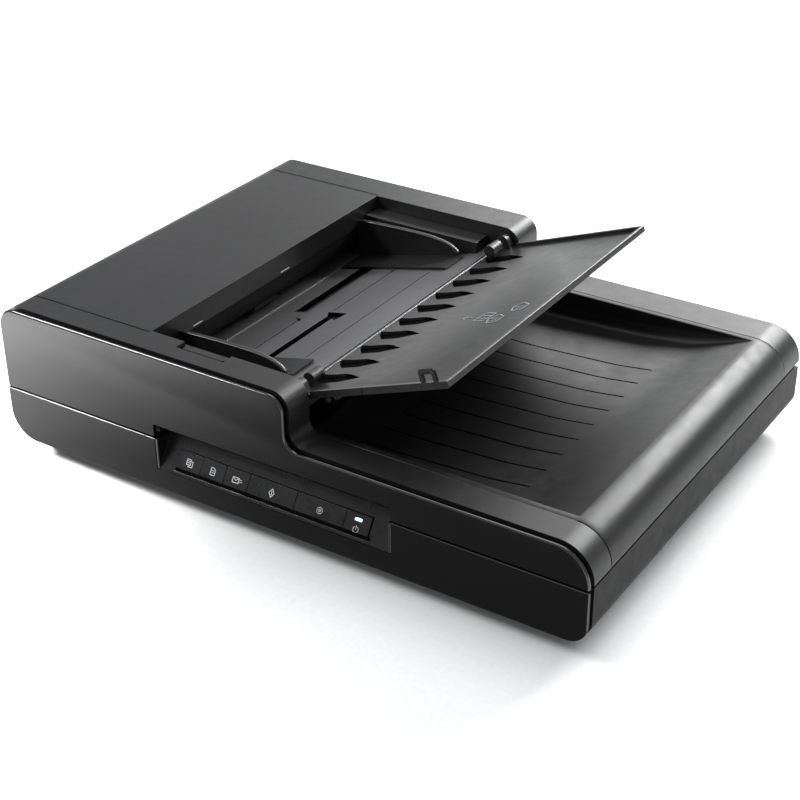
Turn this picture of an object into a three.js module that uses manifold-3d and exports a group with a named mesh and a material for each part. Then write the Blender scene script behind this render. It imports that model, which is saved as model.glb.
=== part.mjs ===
// Flatbed document scanner with an automatic sheet feeder on its lid.
// Millimetres. X runs along the width, the front faces -Y and Z is up.
// The origin is on the table, under the middle of the machine.
import * as THREE from 'three';
import { mergeVertices } from 'three/addons/utils/BufferGeometryUtils.js';
import Module from 'manifold-3d';

const wasm = await Module();
wasm.setup();

// Driving dimensions.
const bodyWidth = 469;
const bodyDepth = 335;
const bodyHeight = 120;
const bodyBottom = 15.4;
const baseTop = 55.3;
const partingGap = 1.6;
const wall = 2.4;
const frontCover = { depth: 6.2, thickness: 2.5 };
const clearance = 0.3;
const stripWidth = 28.7;

const plinth = { bottom: 5.5, insetX: 14.5, insetY: 13.5 };
const foot = { radius: 9, tipRadius: 8, insetX: 20, insetY: 18 };
const baseCorner = { left: 22, right: 14.5 };
const hump = { width: 248.5, leftRadius: 15, rightRadius: 13, footRadius: 10 };
const deck = { z: 82, endRadius: 24.5 };
const lidPlate = { thickness: 2.4 };
const lidHinge = { insetY: 4.2, aboveBase: 1.7, insetX: 64.5, pinRadius: 1.8, knuckleRadius: 3.5, earGap: 0.4 };
const panel = { left: -97.5, right: 95, z: 31.5, tilt: 33.3, length: 27, thickness: 2.5 };
const recess = { top: 66.5, depth: 19.5, rim: 1.6 };
const button = { low: 3.3, high: 17.5, proud: 0.9, gap: 0.4, travel: 0.8, flange: 0.8 };
const buttonWidths = { copy: 19.9, file: 20, mail: 20, start: 38.8, stop: 39, power: 19.9 };
const light = { width: 5, height: 1.6, up: 13.4 };
const glass = { thickness: 3, lap: 5, frameThickness: 2.5, frameDrop: 0.3 };
const platen = { left: 133.5, width: 302, insetY: 57.5 };
const scanStrip = { offset: 25, width: 24, insetY: 51.5 };
const mat = { margin: 6, glassGap: 0.7 };
const rod = { radius: 4, z: 28, mountInset: 18.5, mountWidth: 8 };
const carriage = { width: 22, bottom: 33, wall: 2.7, glassGap: 0.8 };
const belt = { thickness: 1.2, width: 5, z: 24, offsetY: 34 };
const pulley = { radius: 6, driveInset: 36, idlerInset: 20, rimWidth: 1.8 };
const turn = { offset: 31.5, z: 66.5, radius: 9.5, shaft: 3, pinchRadius: 4 };
const feed = { offset: 43, radius: 11, nipZ: 73, retardRadius: 6, retardShaft: 2 };
const pick = { offset: 25, radius: 8.5, shaft: 2 };
const eject = { fromHump: 30, z: 76.4, radius: 6, pinchRadius: 4 };
const cover = { width: 117.5, lipDrop: 17, sideBottom: 94.3, hingeX: 3, hingeUp: 2.2, pinRadius: 1.8 };
const tray = {
  slope: 20.4, axisBack: 10.5, axisDown: 9, face: 8.7, root: 10.5, panel: 2.5, rim: 5, rimWidth: 2.4,
};
const trayPin = { radius: 2.2, bossRadius: 5, bossLength: 6 };
const pockets = {
  count: 10, pitch: 24.3, offset: -1.3, start: -9.5, shoulder: 16, tip: 33, width: 13.8, depth: 1.6,
};
const floor = { thickness: 2.4, rightDrop: 16.7, rightX: 18.8, flatEnd: 32, flatStart: 8, lip: 19 };
const ledge = { drop: 10, frontDrop: 14, width: 17.3, thickness: 2 };
const guide = { fromWell: 27.8, thickness: 2.2, drop: 11, flange: 25, flangeThickness: 1.6, rightX: 38 };
const rack = { radius: 14, teeth: 19, thickness: 3.5, drop: 3.1, width: 5, stem: 8, slot: 10 };
const driveBelt = { plane: 9.2, width: 5 };
const driver = { x: 122, down: 25, radius: 16, pulleyRadius: 6, length: 10 };

// Planes and places that follow from them.
const leftX = -bodyWidth / 2;
const rightX = bodyWidth / 2;
const frontY = -bodyDepth / 2;
const rearY = bodyDepth / 2;
const coverBackY = frontY + frontCover.depth;
const shellFrontY = coverBackY + clearance;
const lidBottom = baseTop + partingGap;
const lidPlateBottom = lidBottom + 0.1;
const lidPlateTop = lidPlateBottom + lidPlate.thickness;
const humpRightX = leftX + hump.width;
const wellY = bodyDepth / 2 - stripWidth;
const hingeX = bodyWidth / 2 - lidHinge.insetX;
const hingeY = rearY - lidHinge.insetY;
const hingeZ = baseTop + lidHinge.aboveBase;
const coverRightX = leftX + cover.width;
const turnX = leftX + turn.offset;
const scanX = turnX + scanStrip.offset;
const feedX = turnX + feed.offset;
const pickX = feedX + pick.offset;
const feedZ = feed.nipZ + 0.2 + feed.radius;
const retardZ = feed.nipZ - 0.2 - feed.retardRadius;
const trayAxisX = humpRightX - tray.axisBack;
const trayAxisZ = bodyHeight - tray.axisDown;
const ejectX = humpRightX - eject.fromHump;
const frameTop = baseTop - glass.frameDrop;
const glassTop = frameTop - glass.frameThickness - clearance;
const glassBottom = glassTop - glass.thickness;
const floorRightX = humpRightX - floor.rightX;
const floorRightZ = bodyHeight - floor.rightDrop;
const floorFlatX = feedX + floor.flatEnd;
const floorFlatZ = feed.nipZ + 0.8;
const floorStartX = feedX + floor.flatStart;
const floorStartZ = feed.nipZ - 0.6;
const floorSlope = (floorRightZ - floorFlatZ) / (floorRightX - floorFlatX);
const floorAt = (x) => floorFlatZ + (x - floorFlatX) * floorSlope;
const guideY = wellY - guide.fromWell;

// Geometry helpers.
function box(x0, x1, y0, y1, z0, z1) {
  const block = new THREE.BoxGeometry(x1 - x0, y1 - y0, z1 - z0);
  return block.translate((x0 + x1) / 2, (y0 + y1) / 2, (z0 + z1) / 2);
}

function rodAlongY(radius, x, z, y0, y1, sides = 16) {
  return new THREE.CylinderGeometry(radius, radius, y1 - y0, sides).translate(x, (y0 + y1) / 2, z);
}

function rodAlongX(radius, y, z, x0, x1, sides = 16) {
  const bar = new THREE.CylinderGeometry(radius, radius, x1 - x0, sides).rotateZ(Math.PI / 2);
  return bar.translate((x0 + x1) / 2, y, z);
}

function rodAlongZ(radius, x, y, z0, z1, sides = 20) {
  const bar = new THREE.CylinderGeometry(radius, radius, z1 - z0, sides).rotateX(Math.PI / 2);
  return bar.translate(x, y, (z0 + z1) / 2);
}

// A shape drawn in X and Z, extruded along Y.
function alongY(shape, y0, y1, curveSegments = 10) {
  const settings = { depth: y1 - y0, bevelEnabled: false, curveSegments };
  return new THREE.ExtrudeGeometry(shape, settings).rotateX(Math.PI / 2).translate(0, y1, 0);
}

// A shape drawn in Y and Z, extruded along X.
function alongX(shape, x0, x1) {
  const turned = new THREE.Matrix4().makeBasis(
    new THREE.Vector3(0, 1, 0), new THREE.Vector3(0, 0, 1), new THREE.Vector3(1, 0, 0));
  const settings = { depth: x1 - x0, bevelEnabled: false };
  return new THREE.ExtrudeGeometry(shape, settings).applyMatrix4(turned).translate(x0, 0, 0);
}

function alongZ(shape, z0, z1) {
  return new THREE.ExtrudeGeometry(shape, { depth: z1 - z0, bevelEnabled: false }).translate(0, 0, z0);
}

function polygon(points) {
  return new THREE.Shape(points.map(([a, b]) => new THREE.Vector2(a, b)));
}

function solid(geometry) {
  const bare = geometry.clone();
  bare.deleteAttribute('normal');
  bare.deleteAttribute('uv');
  const merged = mergeVertices(bare, 1e-4);
  return new wasm.Manifold(new wasm.Mesh({
    numProp: 3,
    vertProperties: new Float32Array(merged.attributes.position.array),
    triVerts: new Uint32Array(merged.index.array),
  }));
}

function join(...geometries) {
  return geometries.map(solid).reduce((whole, next) => whole.add(next));
}

function cut(body, ...geometries) {
  return geometries.map(solid).reduce((rest, tool) => rest.subtract(tool), body);
}

function toGeometry(body) {
  const mesh = body.getMesh();
  const geometry = new THREE.BufferGeometry();
  geometry.setAttribute('position', new THREE.BufferAttribute(new Float32Array(mesh.vertProperties), 3));
  geometry.setIndex(new THREE.BufferAttribute(new Uint32Array(mesh.triVerts), 1));
  geometry.computeVertexNormals();
  return geometry;
}

const finish = (color, roughness, metalness = 0) =>
  new THREE.MeshStandardMaterial({ color, roughness, metalness });
const satinBlack = finish(0x1b1b1d, 0.55);
const glossBlack = finish(0x0a0a0c, 0.12);
const innerBlack = finish(0x141416, 0.7);
const rubberBlack = finish(0x161616, 0.9);
const clearGlass = finish(0xbfd0d0, 0.05);
const whiteFoam = finish(0xf2f2ee, 0.8);
const steel = finish(0xb4b6b8, 0.3, 0.9);
const boardGreen = finish(0x1e5a35, 0.5);
const lightBlue = finish(0xbfdcff, 0.3);
const greyRubber = finish(0x5a5b5d, 0.85);
const zincPlate = finish(0x9a9ca0, 0.4, 0.8);
const softGrey = finish(0x8c8e90, 0.6);

const scanner = new THREE.Group();

function piece(name, shape, material) {
  const geometry = shape instanceof THREE.BufferGeometry ? shape : toGeometry(shape);
  const mesh = new THREE.Mesh(geometry, material);
  mesh.name = name;
  scanner.add(mesh);
}

// Outlines of the two housings, seen from the front.
function baseOutline(inset, top) {
  const half = bodyWidth / 2 - inset;
  const low = bodyBottom + inset;
  const left = baseCorner.left - inset;
  const right = baseCorner.right - inset;
  const shape = new THREE.Shape();
  shape.moveTo(-half, top);
  shape.lineTo(-half, low + left);
  shape.absarc(-half + left, low + left, left, Math.PI, 1.5 * Math.PI, false);
  shape.lineTo(half - right, low);
  shape.absarc(half - right, low + right, right, 1.5 * Math.PI, 2 * Math.PI, false);
  shape.lineTo(half, top);
  return shape;
}

function lidOutline(inset, bottom) {
  const half = bodyWidth / 2 - inset;
  const endX = rightX - deck.endRadius;
  const endZ = deck.z - deck.endRadius;
  const footX = humpRightX + hump.footRadius;
  const footZ = deck.z + hump.footRadius;
  const shape = new THREE.Shape();
  shape.moveTo(-half, bottom);
  shape.lineTo(half, bottom);
  shape.lineTo(half, endZ);
  shape.absarc(endX, endZ, deck.endRadius - inset, 0, Math.PI / 2, false);
  shape.lineTo(footX, deck.z - inset);
  shape.absarc(footX, footZ, hump.footRadius + inset, 1.5 * Math.PI, Math.PI, true);
  const topZ = bodyHeight - hump.rightRadius;
  shape.absarc(humpRightX - hump.rightRadius, topZ, hump.rightRadius - inset, 0, Math.PI / 2, false);
  const leftTopZ = bodyHeight - hump.leftRadius;
  shape.absarc(leftX + hump.leftRadius, leftTopZ, hump.leftRadius - inset, Math.PI / 2, Math.PI, false);
  return shape;
}

// The sloping button panel has its own axes: x, up the slope, and out of its face.
const panelTilt = THREE.MathUtils.degToRad(panel.tilt);
const panelOrigin = new THREE.Vector3(0, frontY + clearance, panel.z + clearance);

function onPanel(geometry) {
  return geometry.rotateX(Math.PI / 2 - panelTilt).translate(...panelOrigin.toArray());
}

function panelBox(x0, x1, up0, up1, out0, out1) {
  return onPanel(box(x0, x1, up0, up1, out0, out1));
}

function panelCutter() {
  return panelBox(panel.left, panel.right, -0.35, 60, -panel.thickness - clearance, 40);
}

// Base unit.
function basePan() {
  const top = baseTop;
  const inner = { x: bodyWidth / 2 - plinth.insetX, y: bodyDepth / 2 - plinth.insetY };
  let pan = join(
    alongY(baseOutline(0, top), shellFrontY, rearY),
    box(-inner.x, inner.x, -inner.y, inner.y, plinth.bottom, bodyBottom + wall));
  pan = cut(pan,
    alongY(baseOutline(wall, top + 10), shellFrontY + wall, rearY - wall),
    box(-inner.x + wall, inner.x - wall, -inner.y + wall, inner.y - wall,
      plinth.bottom + wall, bodyBottom + 2 * wall),
    box(leftX - 1, rightX + 1, hingeY - 4.7, rearY + 1, hingeZ - 4.7, top + 5),
    panelCutter(),
    panelBox(panel.left + 1, panel.right - 1, 1.5, 60, -7.6, 40),
    ...rearPortHoles());
  for (const side of [-1, 1]) {
    const x = side * (bodyWidth / 2 - rod.mountInset);
    const half = rod.mountWidth / 2;
    pan = pan.add(solid(box(x - half, x + half, -9, 9, bodyBottom + 1.5, rod.z + 7)));
  }
  return cut(pan, rodAlongX(rod.radius + clearance, 0, rod.z, leftX + 12, rightX - 12));
}

const ports = {
  power: { x: leftX + 29, z: 27, width: 12, height: 12 },
  usb: { x: leftX + 106, z: 26.5, width: 12.4, height: 11 },
};

function rearPortHoles() {
  return Object.values(ports).map((port) => box(
    port.x - port.width / 2 - clearance, port.x + port.width / 2 + clearance, rearY - 5, rearY + 1,
    port.z - port.height / 2 - clearance, port.z + port.height / 2 + clearance));
}

function powerJack() {
  const { x, z, width, height } = ports.power;
  const body = join(box(x - width / 2, x + width / 2, rearY - 15, rearY - 0.6, z - height / 2, z + height / 2));
  const bored = cut(body, rodAlongY(3.2, x, z, rearY - 10, rearY));
  return bored.add(solid(rodAlongY(1, x, z, rearY - 10.5, rearY - 6, 12)));
}

function usbSocket() {
  const { x, z, width, height } = ports.usb;
  const body = join(box(x - width / 2, x + width / 2, rearY - 16, rearY - 0.6, z - height / 2, z + height / 2));
  const hollow = cut(body, box(x - 4.4, x + 4.4, rearY - 11, rearY, z - 4, z + 4));
  return hollow.add(solid(box(x - 2.8, x + 2.8, rearY - 11.5, rearY - 6.5, z - 1.6, z + 1.6)));
}

function feet() {
  const x = bodyWidth / 2 - plinth.insetX - foot.insetX;
  const y = bodyDepth / 2 - plinth.insetY - foot.insetY;
  const top = plinth.bottom - clearance;
  const profile = [[0, 0], [foot.tipRadius, 0], [foot.radius, top], [0, top]];
  const places = { front_left: [-x, -y], front_right: [x, -y], rear_left: [-x, y], rear_right: [x, y] };
  for (const [place, [px, py]] of Object.entries(places)) {
    const points = profile.map(([r, z]) => new THREE.Vector2(r, z));
    const pad = new THREE.LatheGeometry(points, 24).rotateX(Math.PI / 2).translate(px, py, 0);
    piece(`${place}_foot`, join(pad), rubberBlack);
  }
}

const platenWindow = {
  x0: leftX + platen.left, x1: leftX + platen.left + platen.width,
  y: bodyDepth / 2 - platen.insetY,
};
const stripWindow = {
  x0: scanX - scanStrip.width / 2, x1: scanX + scanStrip.width / 2, y: bodyDepth / 2 - scanStrip.insetY,
};

function baseTopFrame() {
  const low = frameTop - glass.frameThickness;
  const edge = wall + clearance;
  return cut(
    join(box(leftX + edge, rightX - edge, shellFrontY + edge, hingeY - 5, low, frameTop)),
    box(platenWindow.x0, platenWindow.x1, -platenWindow.y, platenWindow.y, low - 1, frameTop + 1),
    box(stripWindow.x0, stripWindow.x1, -stripWindow.y, stripWindow.y, low - 1, frameTop + 1),
    box(panel.left - 0.6, panel.right + 0.6, frontY, frontY + 17.7, low - 1, frameTop + 1));
}

function pane(window) {
  const lap = glass.lap;
  return box(window.x0 - lap, window.x1 + lap, -window.y - lap, window.y + lap, glassBottom, glassTop);
}

function lowerFrontCover() {
  return cut(join(alongY(baseOutline(0, baseTop), frontY, coverBackY)),
    alongY(baseOutline(wall, baseTop + 5), frontY + frontCover.thickness, coverBackY + 1),
    panelCutter());
}

const buttonRow = {};
let buttonEdge = panel.left + 15.7;
for (const [name, width] of Object.entries(buttonWidths)) {
  buttonRow[name] = { x0: buttonEdge + button.gap / 2, x1: buttonEdge + width - button.gap / 2 };
  buttonEdge += width;
}

function controlPanel() {
  const x0 = panel.left + clearance;
  const x1 = panel.right - clearance;
  const cheekTop = baseTop - 0.5;
  const depth = Math.tan(panelTilt) * (cheekTop - panelOrigin.z);
  const cheek = polygon([
    [panelOrigin.y, panelOrigin.z], [panelOrigin.y + depth + 1, cheekTop], [panelOrigin.y, cheekTop]]);
  const plate = join(
    panelBox(x0, x1, 0, panel.length, -panel.thickness, 0),
    alongX(cheek, x0, x0 + 2), alongX(cheek, x1 - 2, x1));
  const slotLeft = buttonRow.copy.x0 - button.gap;
  const slotRight = buttonRow.power.x1 + button.gap;
  return cut(plate, panelBox(slotLeft, slotRight, button.low - 0.3, button.high + 0.3, -5, 5));
}

function buttonCap({ x0, x1 }) {
  return join(
    panelBox(x0, x1, button.low, button.high, -3.2, button.proud),
    panelBox(x0, x1, button.low - button.flange, button.high + button.flange, -3.6, -2.8),
    panelBox(x0 + 4, x1 - 4, button.low + 4, button.high - 4, -4, -3.2));
}

function buttons() {
  for (const [name, span] of Object.entries(buttonRow)) {
    let cap = buttonCap(span);
    if (name === 'power') {
      cap = cut(cap, lightBox(span, clearance, -5, 5));
    }
    piece(`${name}_button`, cap, glossBlack);
  }
  piece('power_light_lens', lightBox(buttonRow.power, 0, -3.4, button.proud), lightBlue);
}

function lightBox(span, grow, out0, out1) {
  const middle = (span.x0 + span.x1) / 2;
  const x0 = middle - light.width / 2 - grow;
  const x1 = middle + light.width / 2 + grow;
  return panelBox(x0, x1, light.up - light.height / 2 - grow, light.up + light.height / 2 + grow, out0, out1);
}

function controlBoard() {
  let board = join(panelBox(panel.left + 13, panel.right - 13, 3.2, 21, -7, -5.6));
  for (const { x0, x1 } of Object.values(buttonRow)) {
    const middle = (x0 + x1) / 2;
    const up = (button.low + button.high) / 2;
    board = board.add(solid(panelBox(middle - 2.5, middle + 2.5, up - 2.5, up + 2.5, -6, -5)));
  }
  return board;
}

function mainBoard() {
  const x = leftX + 38;
  const y = rearY - 62;
  const z = plinth.bottom + wall + 6;
  return join(
    box(x, x + 140, y, y + 38, z, z + 1.6),
    box(x + 40, x + 62, y + 10, y + 30, z + 1, z + 3.4),
    box(x + 80, x + 94, y + 8, y + 20, z + 1, z + 3.2),
    box(x + 106, x + 134, y + 26, y + 34, z + 1, z + 8));
}

// Scanning carriage, its rod and its belt.
function scanCarriage() {
  const x0 = scanX - carriage.width / 2;
  const x1 = scanX + carriage.width / 2;
  const y = stripWindow.y + 2;
  const wallTop = glassBottom - carriage.glassGap - 3;
  const holder = join(
    box(x0, x1, -y, y, carriage.bottom, wallTop),
    box(x0, x1, -8, 8, rod.z - 5.8, carriage.bottom + 1),
    box(scanX - 8, scanX + 8, beltInner - 3.1, beltInner + 3.7, belt.z - 1, carriage.bottom + 1));
  return cut(holder,
    box(x0 + carriage.wall, x1 - carriage.wall, -y + 3.7, y - 3.7, carriage.bottom + 3, wallTop + 1),
    rodAlongX(rod.radius + clearance, 0, rod.z, x0 - 1, x1 + 1),
    box(scanX - 9, scanX + 9, beltInner - 0.4, beltInner + belt.thickness + 0.4,
      belt.z - 2, belt.z + belt.width + 1));
}

const beltInner = belt.offsetY - pulley.radius - belt.thickness - clearance;
const pulleyX = { drive: leftX + pulley.driveInset, idler: rightX - pulley.idlerInset };

function imageSensor() {
  const half = carriage.width / 2 - carriage.wall - clearance;
  const y = stripWindow.y - 2;
  const low = carriage.bottom + 3 + clearance;
  const top = glassBottom - carriage.glassGap;
  return cut(join(box(scanX - half, scanX + half, -y, y, low, top)),
    box(scanX - 2.5, scanX + 2.5, -y + 4, y - 4, top - 2, top + 1));
}

function flatPulley(x) {
  const top = belt.z + belt.width;
  const wheel = join(
    rodAlongZ(pulley.radius, x, belt.offsetY, belt.z - 0.6, top + 0.6),
    rodAlongZ(pulley.radius + pulley.rimWidth, x, belt.offsetY, belt.z - 1.6, belt.z - 0.4),
    rodAlongZ(pulley.radius + pulley.rimWidth, x, belt.offsetY, top + 0.4, top + 1.6));
  return wheel;
}

// A band round any set of wheels whose centres make a convex loop, listed anticlockwise.
function bandShape(wheels, gap, thickness) {
  const edge = (extra, reverse) => {
    const points = [];
    wheels.forEach((wheel, i) => {
      const before = wheels[(i + wheels.length - 1) % wheels.length];
      const after = wheels[(i + 1) % wheels.length];
      const start = tangentAngle(before, wheel);
      let end = tangentAngle(wheel, after);
      while (end < start) end += 2 * Math.PI;
      const steps = 10;
      for (let k = 0; k <= steps; k += 1) {
        const angle = start + (end - start) * k / steps;
        const radius = wheel.radius + extra;
        points.push(new THREE.Vector2(wheel.x + radius * Math.cos(angle), wheel.y + radius * Math.sin(angle)));
      }
    });
    return reverse ? points.reverse() : points;
  };
  const shape = new THREE.Shape(edge(gap + thickness, false));
  shape.holes.push(new THREE.Path(edge(gap, true)));
  return shape;
}

function tangentAngle(from, to) {
  const dx = to.x - from.x;
  const dy = to.y - from.y;
  const lean = Math.asin((to.radius - from.radius) / Math.hypot(dx, dy));
  return Math.atan2(dy, dx) - Math.PI / 2 - lean;
}

function carriageBelt() {
  const wheels = [
    { x: pulleyX.drive, y: belt.offsetY, radius: pulley.radius },
    { x: pulleyX.idler, y: belt.offsetY, radius: pulley.radius }];
  return alongZ(bandShape(wheels, clearance, belt.thickness), belt.z, belt.z + belt.width);
}

function carriageMotor() {
  const low = plinth.bottom + wall + clearance;
  const body = join(
    rodAlongZ(17, pulleyX.drive, belt.offsetY, low, belt.z - 3.4, 32),
    box(pulleyX.drive - 17, pulleyX.drive + 17, belt.offsetY - 24, belt.offsetY + 24,
      belt.z - 4.6, belt.z - 3.4));
  return body;
}

// Lid hinges: a steel pin in two ears on the base, and a knuckle on the lid plate.
function hingeBracket(side) {
  const x = side * hingeX;
  const low = bodyBottom + 16;
  const ears = [-1, 1].map((end) => {
    const ear = x + end * 12;
    return join(
      rodAlongX(lidHinge.knuckleRadius, hingeY, hingeZ, ear - 2, ear + 2),
      box(ear - 2, ear + 2, hingeY - 3, hingeY + 1.3, low + 4, hingeZ));
  });
  const plate = solid(box(x - 14, x + 14, hingeY - 1, hingeY + 1.3, low, hingeZ - 6));
  const body = ears.reduce((whole, ear) => whole.add(ear), plate);
  return cut(body, rodAlongX(lidHinge.pinRadius + 0.1, hingeY, hingeZ, x - 20, x + 20));
}

function hingePin(side) {
  const x = side * hingeX;
  return rodAlongX(lidHinge.pinRadius, hingeY, hingeZ, x - 14.4, x + 14.4, 20);
}

function knuckle(side) {
  const x = side * hingeX;
  const half = 10 - lidHinge.earGap;
  const web = join(
    rodAlongX(lidHinge.knuckleRadius, hingeY, hingeZ, x - half, x + half),
    box(x - half, x + half, hingeY - 8, hingeY, lidPlateBottom, lidPlateTop + 0.8));
  return cut(web, rodAlongX(lidHinge.pinRadius + 0.1, hingeY, hingeZ, x - 20, x + 20));
}

// Lid unit.
const pocketBack = frontY + recess.depth;

function lidFrame() {
  const upTo = bodyHeight + 5;
  let frame = cut(join(alongY(lidOutline(0, lidBottom), shellFrontY, rearY)),
    alongY(lidOutline(wall, lidBottom - 5), shellFrontY + wall, -wellY - wall),
    alongY(lidOutline(wall, lidBottom - 5), wellY + wall, rearY - wall),
    box(leftX + wall, rightX + 1, -wellY, wellY, lidBottom - 5, upTo),
    box(leftX - 1, leftX + wall + 1, -wellY, wellY, cover.sideBottom - 1.8, upTo),
    box(leftX + wall, rightX - wall, shellFrontY + wall, hingeY - 4, lidBottom - 5, lidPlateTop + clearance),
    box(panel.left, panel.right, frontY, shellFrontY + wall + 1, lidBottom - 5, recess.top));
  frame = frame.add(fingerPocket());
  const clear = clearance;
  return cut(frame,
    ...hingeWindows(),
    rodAlongY(cover.pinRadius + clear, coverHinge.x, coverHinge.z, -wellY - 3, wellY + 3),
    rodAlongY(trayPin.radius + clear, trayAxisX, trayAxisZ, -wellY - 3, wellY + 3),
    rodAlongY(turn.shaft + clear, turnX, turn.z, -wellY - 3, wellY + 3),
    rodAlongY(turn.shaft + clear, ejectX, eject.z, -wellY - 3, wellY + 3),
    rodAlongY(turn.shaft + clear, feedX, feedZ, wellY - 1, wellY + 3),
    box(coverRightX + 29, coverRightX + 69, -wellY - 9.5, -wellY + 1, bodyHeight - 8, upTo));
}

function fingerPocket() {
  const x0 = panel.left - 2;
  const x1 = panel.right + 2;
  const front = shellFrontY;
  return cut(join(box(x0, x1, front, pocketBack + 2, lidPlateBottom, recess.top + 2)),
    box(panel.left, panel.right, front - 1, pocketBack, lidPlateBottom - 1, recess.top));
}

function hingeWindows() {
  return [-1, 1].map((side) => {
    const x = side * hingeX;
    return box(x - 15, x + 15, hingeY - 1, rearY + 1, lidBottom - 1, hingeZ + 4.8);
  });
}

function upperFrontCover() {
  const shell = cut(join(alongY(lidOutline(0, lidBottom), frontY, coverBackY)),
    alongY(lidOutline(wall, lidBottom - 5), frontY + frontCover.thickness, coverBackY + 1));
  const surround = box(panel.left - recess.rim, panel.right + recess.rim, frontY + 1, coverBackY,
    lidBottom, recess.top + recess.rim);
  return cut(shell.add(solid(surround)),
    box(panel.left, panel.right, frontY - 1, coverBackY + 1, lidBottom - 1, recess.top));
}

function lidBase() {
  const edge = wall + 0.4;
  const window = { x0: turnX - 14.5, x1: floorStartX + 2, y: bodyDepth / 2 - 49.5 };
  const plate = cut(
    join(box(leftX + edge, rightX - edge, shellFrontY + edge, hingeY - 4.8, lidPlateBottom, lidPlateTop)),
    box(window.x0, window.x1, -window.y, window.y, lidPlateBottom - 1, lidPlateTop + 1),
    box(panel.left - 2.3, panel.right + 2.3, frontY, pocketBack + 2.3, lidPlateBottom - 1, lidPlateTop + 1));
  return plate.add(knuckle(-1)).add(knuckle(1));
}

function documentMat() {
  const m = mat.margin;
  const y = platenWindow.y - m;
  return box(platenWindow.x0 + m, platenWindow.x1 - m, -y, y,
    glassTop + mat.glassGap, lidPlateBottom - clearance);
}

// Output tray: a dish in the low right part of the lid.
const dish = { left: humpRightX - 22, floor: lidPlateTop + 2.6, thickness: 2, rim: 4.9 };

function dishLine(offset) {
  return [
    [dish.left, dish.floor + offset], [humpRightX + 46, dish.floor + offset],
    [rightX - 104.5, dish.floor + 3.3 + offset], [rightX - 64.5, dish.floor + 8.5 + offset],
    [rightX - 27.5, deck.z - 1.2 + offset]];
}

function outputTray() {
  const y = wellY - clearance;
  const body = new THREE.Shape();
  const endX = rightX - deck.endRadius;
  const endZ = deck.z - deck.endRadius;
  body.moveTo(dish.left, lidPlateTop + clearance);
  body.lineTo(rightX - wall - 0.2, lidPlateTop + clearance);
  body.lineTo(rightX - wall - 0.2, lidBottom);
  body.lineTo(rightX, lidBottom);
  body.absarc(endX, endZ, deck.endRadius, 0, Math.PI / 2, false);
  body.lineTo(dish.left, deck.z);
  const above = polygon([...dishLine(0), [rightX - 27.5, deck.z + 5], [dish.left, deck.z + 5]]);
  const below = new THREE.Shape();
  below.moveTo(dish.left - 5, lidBottom - 5);
  below.lineTo(rightX - wall, lidBottom - 5);
  below.absarc(endX, endZ, deck.endRadius - wall, 0, Math.PI / 2, false);
  const under = dishLine(-dish.thickness).reverse();
  under.forEach(([x, z]) => below.lineTo(x, z));
  below.lineTo(dish.left - 5, dish.floor - dish.thickness);
  const inner = y - dish.rim;
  return cut(join(alongY(body, -y, y)),
    alongY(above, -inner, inner),
    box(dish.left - 1, humpRightX - 3, -inner, inner, dish.floor, deck.z + 5),
    alongY(below, -y + 2, y - 2),
    ...dishGrooves());
}

function dishGrooves() {
  const grooves = [];
  for (let i = 0; i < 9; i += 1) {
    const y = -108 + i * 22.5;
    grooves.push(alongY(polygon([
      [humpRightX + 20, dish.floor + 9], [humpRightX + 20, dish.floor - 0.5],
      [humpRightX + 46, dish.floor - 0.5], [rightX - 104.5, dish.floor + 2.8],
      [rightX - 70, dish.floor + 7.3], [rightX - 70, dish.floor + 9]]), y - 0.6, y + 0.6));
  }
  return grooves;
}

// Feeder mechanism.
function feedFloor() {
  const y = wellY - clearance;
  const t = floor.thickness;
  const profile = polygon([
    [floorStartX, floorStartZ], [floorFlatX, floorFlatZ], [floorRightX, floorRightZ],
    [floorRightX, floorRightZ - floor.lip], [floorRightX - t, floorRightZ - floor.lip],
    [floorRightX - t, floorRightZ - t - 0.6], [floorFlatX, floorFlatZ - t], [floorStartX, floorStartZ - t]]);
  let plate = join(alongY(profile, -y, y));
  for (const side of [-1, 1]) {
    const ear = side * 18.5;
    plate = plate.add(solid(box(feedX - 6, floorStartX + 1, ear - 1, ear + 1, retardZ - 4, floorStartZ)));
  }
  plate = plate.add(solid(tilted(new THREE.CylinderGeometry(3, 3, 8, 20).rotateX(Math.PI / 2), 0, 0, -6)));
  return cut(plate,
    rodAlongY(feed.retardShaft + clearance, feedX, retardZ, -25, 25),
    box(rackX.rear - rack.slot / 2, rackX.rear + rack.slot / 2, 4, guideY - 13, 60, bodyHeight),
    box(rackX.front - rack.slot / 2, rackX.front + rack.slot / 2, -guideY + 13, -4, 60, bodyHeight));
}

// Places on the sloping floor: u along the slope, y across, w out of the floor.
const floorTilt = Math.atan(floorSlope);
const pinionX = coverRightX + 40;

function tilted(geometry, u, y, w) {
  return geometry.translate(u, y, w).rotateY(-floorTilt).translate(pinionX, 0, floorAt(pinionX));
}

const rackX = {
  rear: pinionX - (rack.radius + 2.5) * Math.cos(floorTilt),
  front: pinionX + (rack.radius + 2.5) * Math.cos(floorTilt),
};
const rackModule = 2 * rack.radius / rack.teeth;
const rackPitch = Math.PI * rackModule;

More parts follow.
